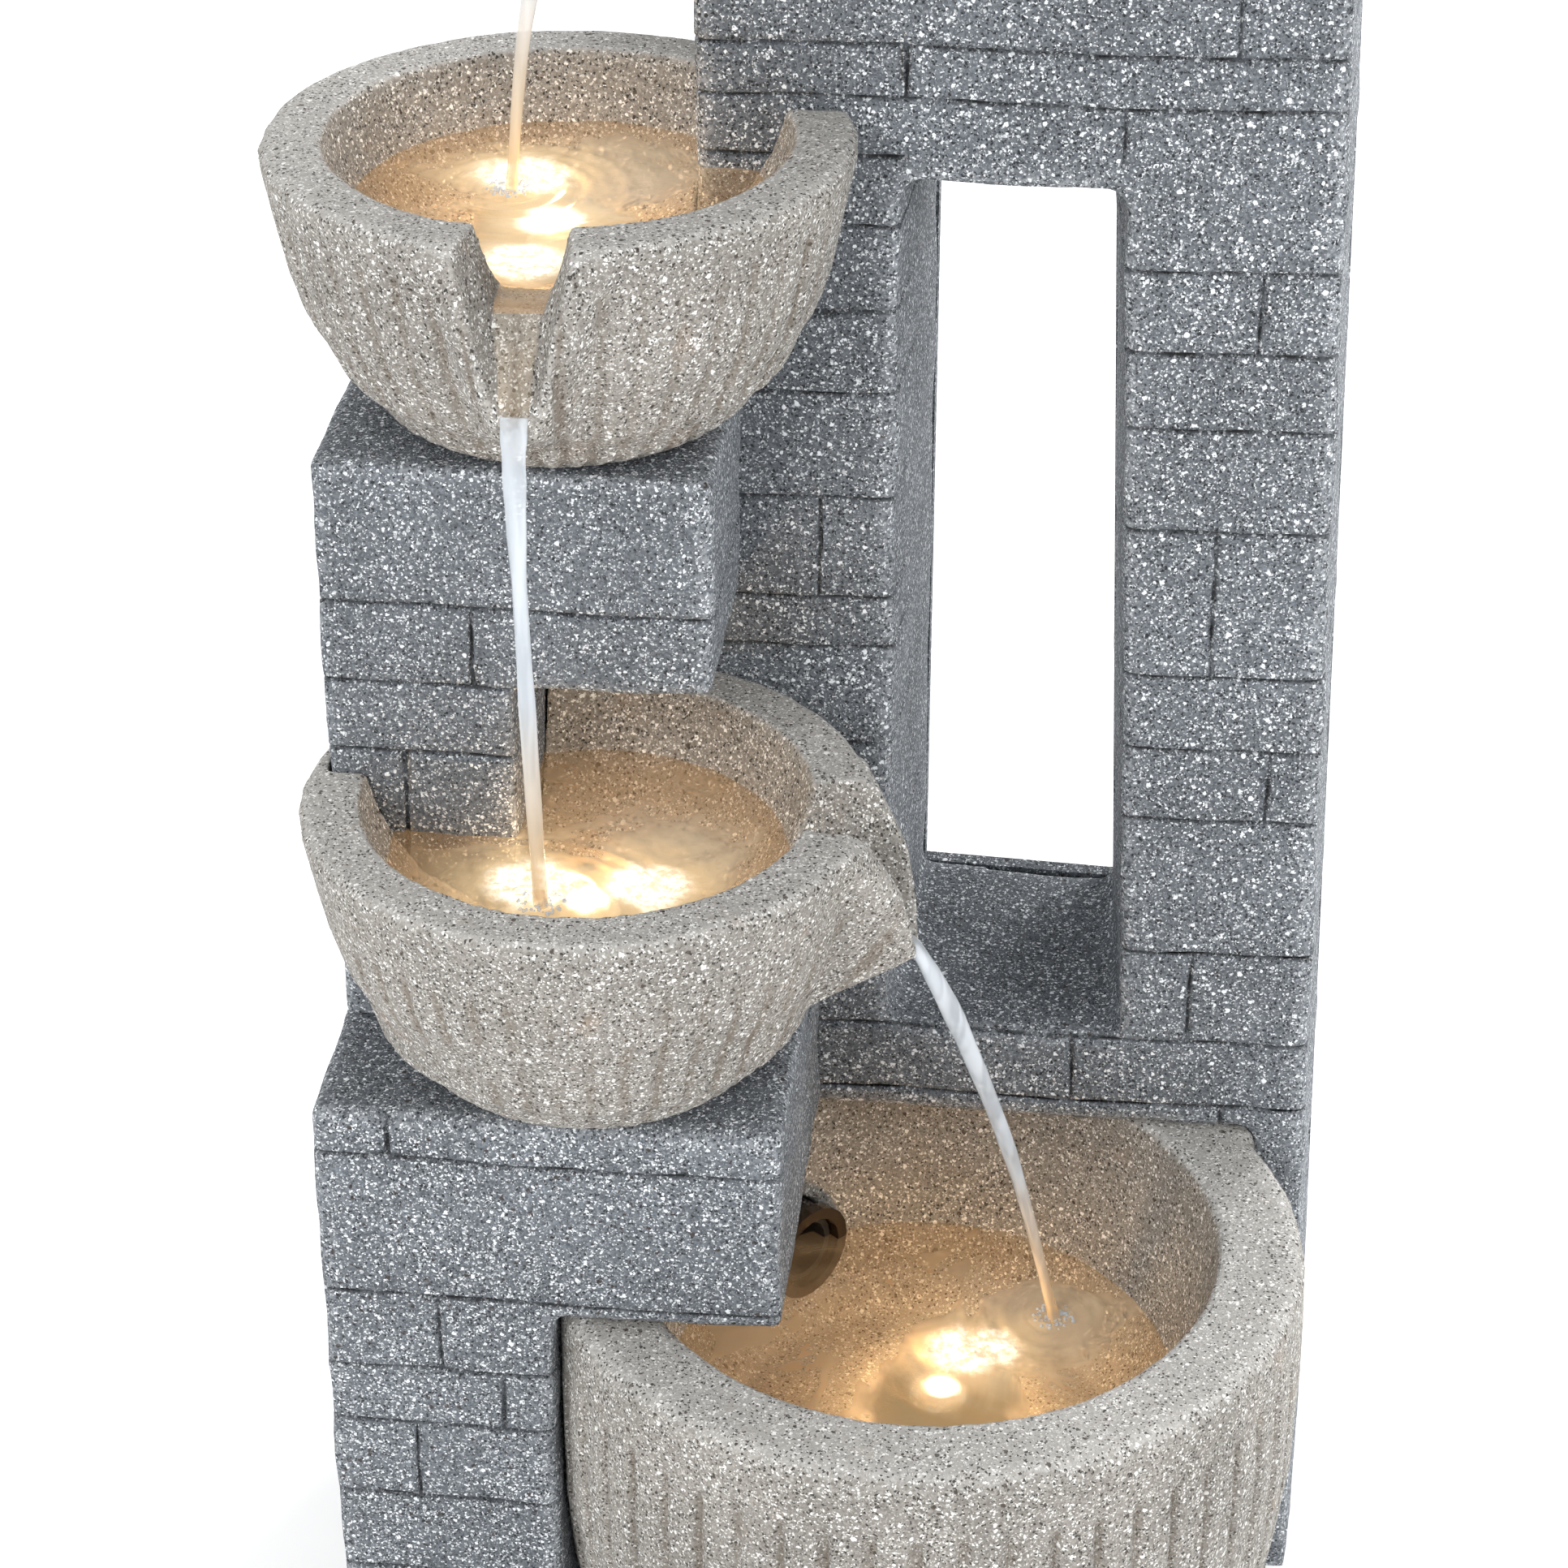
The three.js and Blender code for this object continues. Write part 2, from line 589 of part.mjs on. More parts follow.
function flowRegulator() {
  const { x, z, front } = PUMP;
  const y1 = front + 2 * GAP + 14;
  return discY(1.5, x, z + 6, y1 - 5, y1 + 1, 16)
    .add(discY(3.8, x, z + 6, y1 + GAP, y1 + 1.2, 20))
    .add(block(x - 0.8, x + 0.8, y1 + 1, y1 + 2.4, z + 3, z + 10.5));
}

function outletAdapter() {
  const profile = [
    [4.75, 41], [6, 41], [6, 48], [3.7, 49.5], [3.7, 51], [3.4, 58], [2.8, 58], [2.8, 47.3],
    [4.75, 47.3], [4.75, 41],
  ];
  return turned(profile, PUMP.x, OUTLET_Y, 20);
}

function suctionFoot(x, y) {
  const z = TANK.z0 + TANK.wall + GAP;
  const profile = [
    [0, z + 0.5], [2.5, z], [4.2, z], [3.2, z + 1.2], [1.6, z + 2], [1.6, 11.7], [0, 11.7],
  ];
  return turned(profile, x, y, 16);
}

function riserHose() {
  const route = [
    [PUMP.x, OUTLET_Y, 50.6], [PUMP.x, OUTLET_Y, 70], [PUMP.x, OUTLET_Y, 104], [-56, 29, 124],
    [-40, 28, 136], [-27.5, 28, 139], [-15, 28, 147], [-9.6, 28, 166], [-9.6, 28, 230],
    [-9.6, 28, 294], [-6, 24, 316], [5, 15, 334], [INLET.x, INLET.y, 350], [INLET.x, INLET.y, 377],
  ];
  return tube(route, HOSE.r, 26, 8, HOSE.bore);
}

function hoseClamp() {
  const band = turned([[5.8, 52], [7, 52], [7, 56], [5.8, 56], [5.8, 52]], PUMP.x, OUTLET_Y, 20);
  const [x, y] = [PUMP.x + 6.4, OUTLET_Y];
  return band.add(block(x, x + 3.6, y - 1.6, y + 1.6, 52.4, 55.6));
}

function topInlet() {
  const z = BOWLS.top.rim - BOWL_FLOOR + GAP;
  const profile = [
    [3, 377.6], [5, 377.6], [5, z], [7, z], [7, z + 2], [5, z + 2.6], [5, z + 14],
    [4.4, z + 15], [3, z + 15], [3, 377.6],
  ];
  return turned(profile, INLET.x, INLET.y, 20);
}

// ---------------------------------------------------------------- lights and wiring
function lightGasket({ x, y, floor }) {
  const [z0, z1] = [floor + 0.1, floor + 0.9];
  return turned([[4, z0], [6.4, z0], [6.4, z1], [4, z1], [4, z0]], x, y, 14);
}

function lightBody({ x, y, floor }) {
  const foot = floor - 13;
  const z = floor + 1.1;
  const profile = [
    [0, foot], [3.5, foot], [3.5, z], [7, z], [7, z + 1.8], [6.2, z + 2.4], [0, z + 2.4],
  ];
  return turned(profile, x, y, 14);
}

function lightLens({ x, y, floor }) {
  const z = floor + 3.7;
  return turned([[0, z], [5.6, z], [5.4, z + 1.2], [4, z + 2.5], [2, z + 3.1], [0, z + 3.3]], x, y, 14);
}

function junctionBox() {
  const { x0, x1, y0, y1, z0, z1, wall } = BOX;
  return block(x0, x1, y0, y1, z0, z1).subtract(
    block(x0 + wall, x1 - wall, y0 + wall, y1 + 1, z0 + wall, z1 - wall),
  );
}

function junctionLid() {
  const { x0, x1, y1, z0, z1 } = BOX;
  return block(x0, x1, y1 + GAP, y1 + GAP + 2, z0, z1);
}

function cableGland() {
  const profile = [
    [2.2, 52], [3.1, 52], [3.1, 57.6], [5.2, 57.6], [5.2, 59.2], [3.6, 61], [2.2, 61], [2.2, 52],
  ];
  return turnedY(profile, GLAND.x, GLAND.z, 16);
}

const LEADS = {
  pump_lead: [
    [-72, 18, 41.8], [-72, 18, 60], [-74, 20, 110], [-77, 20, 150], [-78, 17, 171.6],
  ],
  light_lead_top: [
    [29, 6, 383.6], [29, 8, 362], [27, 13, 338], [8, 36, 326], [-9, 44, 312], [-10, 44, 250],
    [-10, 44, 205], [-18, 44, 187], [-34, 44, 185], [-48, 38, 186], [-55, 33, 188], [-57.3, 33, 188],
  ],
  light_lead_upper: [
    [-49.3, -10.7, 282.2], [-49.3, -10.7, 262], [-58, 8, 244], [-66, 18, 222], [-67, 20, 202.4],
  ],
  light_lead_middle: [
    [-40.6, -51.5, 173.5], [-40.6, -51.5, 152], [-50, -24, 140], [-62, 6, 141], [-66, 17, 155],
    [-66, 18, 171.6],
  ],
  light_lead_basin: [
    [21, -29.9, 54], [20, -26, 34], [12, 4, 17.5], [3, 38, 17.5], [-10, 44, 26], [-27, 44, 33],
    [-36, 39, 46], [-37, 37, 80], [-38, 37, 110], [-50, 38, 140], [-70, 34, 158], [-72, 28, 171.6],
  ],
  supply_lead: [
    [GLAND.x, 51.4, GLAND.z], [GLAND.x, 49.2, 26], [-80.5, 49.4, 60], [-80.5, 49.4, 120],
    [-79.5, 42, 152], [-78.5, 31, 167], [-78.5, 31, 171.4],
  ],
};

// ---------------------------------------------------------------- base
function basePlate() {
  const column = block(LOWER.left + 5, COLUMN_RIGHT, LOWER.front + 4, 53, PLATE_Z0, PLATE_Z1);
  const front = block(LOWER.left + 5, LOWER.stem, LOWER.front + 4, 20, PLATE_Z0, PLATE_Z1);
  const rear = block(LOWER.left + 5, WALL.rightFoot - 4, 2, 53, PLATE_Z0, PLATE_Z1);
  const round = disc(44, BASIN.x, BASIN.y, PLATE_Z0, PLATE_Z1, 48);
  return column.intersect(block(-FAR, 0, 0, FAR, 0, 10)).add(front).add(rear).add(round);
}

// ---------------------------------------------------------------- assembly
add("wall_shell", wallShell(), MATERIAL.wallStone);
add("wall_rear_cover", wallCover(), MATERIAL.wallStone);
add("upper_pedestal", upperPedestal(), MATERIAL.wallStone);
add("lower_pedestal", lowerPedestal(), MATERIAL.wallStone);
add("column_rear_cover", columnCover(), MATERIAL.wallStone);
add("capstone", capstone(), MATERIAL.wallStone);
add("top_bowl", topBowl(), MATERIAL.bowlStone);
add("upper_bowl", upperBowl(), MATERIAL.bowlStone);
add("middle_bowl", middleBowl(), MATERIAL.bowlStone);
add("basin", basinShell(), MATERIAL.bowlStone);
add("base_plate", basePlate(), MATERIAL.greyPlastic);
for (const [name, [x, y]] of Object.entries(FEET)) {
  const foot = turned([[0, 0], [8, 0], [8.6, FOOT_H], [0, FOOT_H]], x, y, 16);
  add(`foot_${name}`, foot, MATERIAL.rubber);
}

add("rear_door", rearDoor(), MATERIAL.greyPlastic);
const hingePin = disc(HINGE.pin, HINGE.x, HINGE.y, 105.5, 152.5, 16);
add("door_hinge_pin", hingePin, MATERIAL.steel);
add("door_latch", doorLatch(), MATERIAL.blackPlastic);
[...WALL_SCREWS, ...COLUMN_SCREWS].forEach((at, i) => {
  add(`rear_screw_${i + 1}`, rearScrew(at), MATERIAL.steel);
});

add("return_duct", ductPipe(DUCT.r, DUCT.bore, 0, 48), MATERIAL.blackPlastic);
add("return_grommet", returnGrommet(), MATERIAL.rubber);
add("pump_tank", pumpTank(), MATERIAL.blackPlastic);
add("drain_plug", drainPlug(), MATERIAL.rubber);

add("pump_housing", pumpHousing(), MATERIAL.blackPlastic);
add("impeller_shaft", impellerShaft(), MATERIAL.steel);
add("impeller", impeller(), MATERIAL.greyPlastic);
add("pump_chamber", pumpChamber(), MATERIAL.blackPlastic);
add("intake_strainer", intakeStrainer(), MATERIAL.blackPlastic);
add("flow_regulator", flowRegulator(), MATERIAL.greyPlastic);
add("outlet_adapter", outletAdapter(), MATERIAL.blackPlastic);
for (const [side, dx] of [["left", -10], ["right", 10]]) {
  add(`suction_foot_${side}`, suctionFoot(PUMP.x + dx, PUMP.y + 9), MATERIAL.rubber);
}
add("riser_hose", riserHose(), MATERIAL.clearHose);
add("hose_clamp", hoseClamp(), MATERIAL.steel);
add("top_inlet", topInlet(), MATERIAL.blackPlastic);

for (const [name, light] of Object.entries(LIGHTS)) {
  add(`light_gasket_${name}`, lightGasket(light), MATERIAL.rubber);
  add(`light_body_${name}`, lightBody(light), MATERIAL.blackPlastic);
  add(`light_lens_${name}`, lightLens(light), MATERIAL.warmLens);
}
add("junction_box", junctionBox(), MATERIAL.blackPlastic);
add("junction_lid", junctionLid(), MATERIAL.blackPlastic);
add("cable_gland", cableGland(), MATERIAL.blackPlastic);
for (const [name, route] of Object.entries(LEADS)) {
  add(name, tube(route, LEAD_R, 2 * route.length, 6), MATERIAL.lead);
}

// The origin is the middle of the bounding box's bottom face.
const bounds = new THREE.Box3().setFromObject(fountain);
const middle = bounds.getCenter(new THREE.Vector3());
fountain.position.set(-middle.x, -middle.y, -bounds.min.z);

export default fountain;
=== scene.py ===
# %% [markdown]
# # Tabletop water fountain
# Cast stone-effect resin: a wall with a window, two stepped pedestals, three spouted bowls and a
# basin, with lit water running down them. The engineering model is the frame: it gives the bodies,
# the places and the sizes, and each piece here rides on one of its bodies.

from math import cos, pi, radians, sin

import bmesh
import bpy
import numpy as np
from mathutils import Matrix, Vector, noise


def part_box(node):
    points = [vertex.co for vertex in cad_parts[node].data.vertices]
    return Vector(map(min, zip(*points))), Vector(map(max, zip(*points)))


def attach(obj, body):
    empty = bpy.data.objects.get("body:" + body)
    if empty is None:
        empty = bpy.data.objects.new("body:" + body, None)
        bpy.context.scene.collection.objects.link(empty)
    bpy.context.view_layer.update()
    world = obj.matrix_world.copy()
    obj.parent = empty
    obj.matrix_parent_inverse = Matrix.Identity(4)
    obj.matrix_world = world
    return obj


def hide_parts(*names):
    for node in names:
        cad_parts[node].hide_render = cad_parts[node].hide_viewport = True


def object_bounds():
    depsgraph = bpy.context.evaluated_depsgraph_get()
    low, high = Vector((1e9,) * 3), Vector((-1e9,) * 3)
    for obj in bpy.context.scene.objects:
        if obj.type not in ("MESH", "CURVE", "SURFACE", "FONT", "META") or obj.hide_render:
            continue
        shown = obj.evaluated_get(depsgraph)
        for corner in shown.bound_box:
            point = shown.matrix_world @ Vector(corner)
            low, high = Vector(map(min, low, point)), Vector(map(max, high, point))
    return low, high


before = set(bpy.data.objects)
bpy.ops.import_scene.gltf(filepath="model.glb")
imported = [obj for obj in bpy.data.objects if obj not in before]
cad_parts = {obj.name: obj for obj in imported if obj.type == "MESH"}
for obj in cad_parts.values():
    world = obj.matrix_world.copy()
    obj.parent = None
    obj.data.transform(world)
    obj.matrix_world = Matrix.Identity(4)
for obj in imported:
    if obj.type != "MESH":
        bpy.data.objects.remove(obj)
BOX_AT_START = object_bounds()
MM = 0.001
WALL_LEFT = -27.3  # the wall's left side on the drawing, in mm
WALL_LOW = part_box("wall_shell")[0]
SHIFT_X, SHIFT_Y = WALL_LOW.x - WALL_LEFT * MM, WALL_LOW.y
print("nodes", len(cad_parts), "wall starts at", tuple(WALL_LOW))

# %% [markdown]
# The maker's drawing has its origin on the front face of the wall, in millimetres. One helper turns
# a place on that drawing into the scene's metres, so every number below reads like the drawing.


# %% From the drawing to the scene
def at(x, y, z):
    return Vector((x * MM + SHIFT_X, y * MM + SHIFT_Y, z * MM))


# Centre and rim height in mm; turn is the way the spout points, in degrees.
BOWLS = {
    "top": {"centre": (21, 6), "rim": 423, "turn": -165},
    "upper": {"centre": (-47.8, -15.7), "rim": 321.5, "turn": -90},
    "middle": {"centre": (-41.4, -46.5), "rim": 212.8, "turn": 0},
}
BASIN = {"centre": (18.3, -36.8), "rim": 115.3}
LAMPS = {
    "top": (29, 6, 404), "upper": (-49.3, -10.7, 302.5),
    "middle": (-40.6, -51.5, 193.8), "basin": (21, -29.9, 74.3),
}
LEVELS = {"top": 411.0, "upper": 309.7, "middle": 200.8, "basin": 81.5}
print("upper lamp at", tuple(at(*LAMPS["upper"])))

# %% [markdown]
# ## Camera
# A long lens from a step back, a little above and to the right, keeps the uprights nearly parallel.
# The camera comes before the shapes, because it decides how fine their detail has to be.

# %% Camera
camera = bpy.data.objects.new("camera", bpy.data.cameras.new("camera"))
camera.data.lens, camera.data.sensor_width = 92.13, 36
camera.data.clip_start, camera.data.clip_end = 0.01, 20
camera.location = at(54.295, -632.7, 571.4)
camera.rotation_euler = (radians(90 - 31.04), 0, radians(5.98))
bpy.context.collection.objects.link(camera)
bpy.context.scene.camera = camera
bpy.context.scene.view_settings.view_transform = "Standard"
print("camera lens", camera.data.lens)

# %% [markdown]
# ## A bench for wiring nodes
# Shader trees and geometry trees are wired the same way, so one small bench serves both: it adds a
# node, sets its options, and plugs in either a plain value or another node's output.


# %% Node bench
class Bench:
    def __init__(self, tree):
        self.tree = tree

    def add(self, kind, plugs=None, **options):
        node = self.tree.nodes.new(kind)
        for key, value in options.items():
            setattr(node, key, value)
        self.plug(node, plugs or {})
        return node

    def plug(self, node, plugs):
        for key, value in plugs.items():
            socket = node.inputs[key]
            if isinstance(value, bpy.types.NodeSocket):
                self.tree.links.new(value, socket)
            else:
                socket.default_value = value

    def place(self):
        return self.add("ShaderNodeTexCoord").outputs["Object"]

    def clouds(self, place, scale, detail=2.0, **more):
        plugs = {"Vector": place, "Scale": scale, "Detail": detail, **more}
        return self.add("ShaderNodeTexNoise", plugs).outputs["Fac"]

    def bump(self, height, strength, distance):
        plugs = {"Height": height, "Strength": strength, "Distance": distance}
        return self.add("ShaderNodeBump", plugs).outputs[0]

    def sum(self, operation, a, b=0.0, c=0.0, clamp=False):
        plugs = {0: a, 1: b, 2: c} if operation == "MULTIPLY_ADD" else {0: a, 1: b}
        if operation in ("ABSOLUTE", "FRACT", "FLOOR", "SQRT"):
            plugs = {0: a}
        return self.add("ShaderNodeMath", plugs, operation=operation, use_clamp=clamp).outputs[0]

    def step(self, value, low, high, to_low=0.0, to_high=1.0):
        plugs = {0: value, 1: low, 2: high, 3: to_low, 4: to_high}
        return self.add("ShaderNodeMapRange", plugs, interpolation_type="SMOOTHSTEP").outputs[0]

    def mix(self, share, a, b, blend="MIX"):
        plugs = {0: share, 6: a, 7: b}
        return self.add("ShaderNodeMix", plugs, data_type="RGBA", blend_type=blend).outputs[2]


def new_material(name):
    material = bpy.data.materials.new(name)
    material.use_nodes = True
    material.node_tree.nodes.clear()
    bench = Bench(material.node_tree)
    surface = bench.add("ShaderNodeBsdfPrincipled")
    bench.add("ShaderNodeOutputMaterial", {0: surface.outputs[0]})
    return material, bench, surface


def linear(*colour):
    """The shader's own colour for a red, green and blue from 0 to 255 on a screen."""
    low, high = (lambda v: v / 12.92), (lambda v: ((v + 0.055) / 1.055) ** 2.4)
    return tuple(low(v / 255) if v <= 10 else high(v / 255) for v in colour) + (1.0,)


print("the bench is ready")

# %% [markdown]
# ## The cast stone
# The real surface is resin filled with crushed stone: a mid-grey ground full of white chips, with
# black and a few brown grains. A printed pattern would repeat and blur, so the grains are cells of
# a Voronoi pattern in object space: each cell holds one grain, and the cell's own random colour
# says how big the grain is, or that there is none.


# %% One kind of grain
def grains(bench, place, cell_mm, smallest, largest, share, edge=0.05):
    """A mask that is 1 inside the grains. Sizes are radii, as a part of a cell's width."""
    cells = bench.add("ShaderNodeTexVoronoi", {"Vector": place, "Scale": 1000 / cell_mm})
    parts = bench.add("ShaderNodeSeparateColor", {0: cells.outputs["Color"]})
    size = bench.sum("MULTIPLY_ADD", parts.outputs[0], largest - smallest, smallest)
    inside = bench.sum("SUBTRACT", size, cells.outputs["Distance"])
    mask = bench.step(inside, -edge, edge)
    chosen = bench.sum("LESS_THAN", parts.outputs[1], share)
    return bench.sum("MULTIPLY", mask, chosen), parts.outputs[2]


# %% Cast stone material
def cast_stone(
    name, ground, pale, white, speck, speck_share, joint_paint_and_flute_shade_tint, joint_paint_and_flute_shade_share, painted_top_light, rust_share=0.0
):
    """The last pair is a share and a colour laid on the faces that look up: painted shade that
    darkens the wall's tops, and on the bowls a paler colour, partly their white dry-brushed finish
    and partly a painted highlight.
    """
    material, bench, surface = new_material(name)
    place = bench.place()
    wobble = bench.add("ShaderNodeTexNoise", {"Vector": place, "Scale": 1500.0, "Detail": 2.0})
    plugs = {0: wobble.outputs["Color"], 1: (0.5, 0.5, 0.5)}
    offset = bench.add("ShaderNodeVectorMath", plugs, operation="SUBTRACT").outputs[0]
    small = bench.add("ShaderNodeVectorMath", {0: offset, "Scale": 1.0 * MM}, operation="SCALE")
    bent = bench.add("ShaderNodeVectorMath", {0: place, 1: small.outputs[0]}).outputs[0]

    clouds = bench.clouds(place, 38.0, 4.0)
    sand = bench.clouds(place, 1500.0, 3.0, Roughness=0.7)
    tone = bench.mix(bench.step(sand, 0.3, 0.72), ground, pale)
    shade = bench.mix(bench.step(clouds, 0.35, 0.65), (0.9, 0.9, 0.9, 1), (1.08, 1.08, 1.08, 1))
    tone = bench.mix(1.0, tone, shade, "MULTIPLY")

    normal = bench.add("ShaderNodeNewGeometry").outputs["Normal"]
    facing = bench.add("ShaderNodeSeparateXYZ", {0: normal}).outputs[2]
    # Faces that look up get painted light: painted shade on the wall, and on the bowls a painted
    # highlight over their dry-brushed rims.
    tone = bench.mix(bench.step(facing, 0.4, 0.95, 0.0, painted_top_light[0]), tone, painted_top_light[1])
    dust, dust_tone = grains(bench, bent, 0.45, 0.2, 0.52, 0.55, 0.08)
    chips, chip_tone = grains(bench, bent, 0.74, 0.16, 0.46, 0.58)
    blobs, _ = grains(bench, bent, 2.1, 0.1, 0.24, 0.4, 0.03)
    black, _ = grains(bench, bent, 0.66, 0.16, 0.4, speck_share)
    brown, _ = grains(bench, bent, 2.4, 0.1, 0.2, 0.5, 0.02)
    dusty = bench.sum("MULTIPLY", dust, bench.step(dust_tone, 0.0, 1.0, 0.15, 0.85))
    chipped = bench.sum("MULTIPLY", chips, bench.step(chip_tone, 0.0, 0.9, 0.35, 1.0))
    for share in (dusty, chipped, blobs):
        tone = bench.mix(share, tone, white)

    edge = bench.add("ShaderNodeAttribute", attribute_name="edge").outputs["Fac"]
    rub = bench.clouds(place, 900.0, 3.0)
    brushed = bench.sum("MULTIPLY", edge, bench.step(rub, 0.42, 0.6), clamp=True)
    tone = bench.mix(bench.sum("MULTIPLY", brushed, 0.3), tone, white)
    tone = bench.mix(bench.sum("MULTIPLY", black, 0.88), tone, speck)
    tone = bench.mix(bench.sum("MULTIPLY", brown, 0.8), tone, (0.035, 0.022, 0.014, 1))

    # The groove mask darkens the wall's joints, which the real wall has painted dark, and the
    # bowls' flutes, where the darkening is painted shade.
    groove = bench.add("ShaderNodeAttribute", attribute_name="groove").outputs["Fac"]
    streak = bench.clouds(place, 260.0, 3.0)
    dark = bench.sum("MULTIPLY", groove, bench.step(streak, 0.25, 0.62, 0.45, 1.0), clamp=True)
    tone = bench.mix(bench.sum("MULTIPLY", dark, joint_paint_and_flute_shade_share), tone, joint_paint_and_flute_shade_tint)
    if rust_share:
        rust = bench.clouds(place, 70.0, 5.0, Roughness=0.65)
        stain = bench.sum("MULTIPLY", bench.step(rust, 0.6, 0.78), rust_share)
        tone = bench.mix(stain, tone, linear(196, 150, 104))

    height = bench.sum("MULTIPLY_ADD", chips, 0.35, bench.sum("MULTIPLY", sand, 0.8))
    height = bench.sum("MULTIPLY_ADD", blobs, 0.4, height)
    height = bench.sum("SUBTRACT", height, bench.sum("MULTIPLY", black, 0.9))
    bench.plug(surface, {
        "Base Color": tone, "Normal": bench.bump(height, 0.75, 0.45 * MM),
        "Roughness": bench.step(sand, 0.2, 0.8, 0.72, 0.95), "Specular IOR Level": 0.3,
    })
    return material


# On the wall the joints are its own dark paint, and the darker up-facing faces are painted shade.
WALL_STONE = cast_stone(
    "wall_stone_look", ground=linear(72, 76, 82), pale=linear(120, 126, 132),
    white=linear(232, 236, 240), speck=(0.012, 0.013, 0.015, 1), speck_share=0.62,
    joint_paint_and_flute_shade_tint=(0.008, 0.008, 0.009, 1), joint_paint_and_flute_shade_share=0.95, painted_top_light=(0.15, linear(66, 70, 75)),
)
# On the bowls the darkened flutes are painted shade, and the paler up-facing faces are partly their
# white dry-brushed finish and partly a painted highlight.
BOWL_STONE = cast_stone(
    "bowl_stone_look", ground=linear(116, 112, 106), pale=linear(158, 154, 148),
    white=linear(240, 239, 236), speck=linear(38, 36, 34), speck_share=0.62,
    joint_paint_and_flute_shade_tint=linear(104, 92, 78), joint_paint_and_flute_shade_share=0.7, painted_top_light=(0.3, linear(220, 219, 216)),
    rust_share=0.16,
)
print("stone finishes", WALL_STONE.name, BOWL_STONE.name)

# %% [markdown]
# ## Rough copies of the castings
# A casting's faces aren't flat and its edges aren't sharp. Each engineering solid is copied, its
# skin rebuilt as an even net of small squares, then eased so that the corners wear round, and
# roughened by a slow and a fast noise. Bevels would give even, machined edges instead.


# %% From a solid to an even net
def link(name, mesh):
    piece = bpy.data.objects.new(name, mesh)
    bpy.context.collection.objects.link(piece)
    return piece


def even_net(node, cell_mm):
    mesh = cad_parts[node].data.copy()
    net = bmesh.new()
    net.from_mesh(mesh)
    bmesh.ops.remove_doubles(net, verts=net.verts, dist=0.002 * MM)
    net.to_mesh(mesh)
    net.free()
    piece = link(node + "_rough", mesh)
    mesh.materials.clear()
    remesh = piece.modifiers.new("even net", "REMESH")
    remesh.mode, remesh.voxel_size, remesh.use_smooth_shade = "VOXEL", cell_mm * MM, True
    return finish_modifiers(piece)


def finish_modifiers(piece):
    shown = piece.evaluated_get(bpy.context.evaluated_depsgraph_get())
    mesh = bpy.data.meshes.new_from_object(shown)
    piece.modifiers.clear()
    piece.data = mesh
    return piece


def points_of(mesh):
    co = np.empty(len(mesh.vertices) * 3)
    mesh.vertices.foreach_get("co", co)
    return co.reshape(-1, 3)


def put_points(mesh, co):
    mesh.vertices.foreach_set("co", co.ravel())
    mesh.update()


def keep_in_size(mesh):
    """No bump may stand out of the whole object's box."""
    put_points(mesh, points_of(mesh).clip(*BOX_AT_START))


def normals_of(mesh):
    out = np.empty(len(mesh.vertices) * 3)
    mesh.vertices.foreach_get("normal", out)
    return out.reshape(-1, 3)


def edges_of(mesh):
    ends = np.empty(len(mesh.edges) * 2, np.int64)
    mesh.edges.foreach_get("vertices", ends)
    return ends.reshape(-1, 2)


def average_near(values, ends, count):
    total = np.zeros((count, values.shape[1]))
    np.add.at(total, ends[:, 0], values[ends[:, 1]])
    np.add.at(total, ends[:, 1], values[ends[:, 0]])
    near = np.bincount(ends.ravel(), minlength=count).clip(1)
    return total / near[:, None]


def ease(mesh, rounds):
    ends = edges_of(mesh)
    co = points_of(mesh)
    for _ in range(rounds):
        co = co * 0.5 + average_near(co, ends, len(co)) * 0.5
    put_points(mesh, co)


def keep_number(mesh, name, values):
    layer = mesh.attributes.get(name) or mesh.attributes.new(name, "FLOAT", "POINT")
    layer.data.foreach_set("value", np.ascontiguousarray(values, dtype=np.float32))


def mark_edges(mesh, strength):
    """Keeps how much each point stands proud of its neighbours, as wear for the paint."""
    ends, co = edges_of(mesh), points_of(mesh)
    bulge = -np.einsum("ij,ij->i", average_near(co, ends, len(co)) - co, normals_of(mesh))
    for _ in range(2):
        bulge = average_near(bulge[:, None], ends, len(co))[:, 0] * 0.6 + bulge * 0.4
    keep_number(mesh, "edge", (bulge / (strength * MM)).clip(0, 1))


def roughen(mesh, slow_mm, fast_mm):
    co, out = points_of(mesh), normals_of(mesh)
    slow = np.array([noise.noise(Vector(p) * 95) for p in co])
    fast = np.array([noise.noise(Vector(p) * 410) for p in co])
    put_points(mesh, co + out * ((slow * slow_mm + fast * fast_mm) * MM)[:, None])


print("net tools are ready")

# %% [markdown]
# ## Carved joints
# The wall is cast in one piece, and its courses are only scratched in. A joint is a shallow V
# about a millimetre wide. The even net is too coarse for it, so the faces near each joint are
# sliced along four planes first, and then only the points between them are pushed in.


# %% Slice the net along a joint
JOINT_FLAT, JOINT_HALF = 0.13, 0.55  # half widths of the joint's floor and mouth, in mm


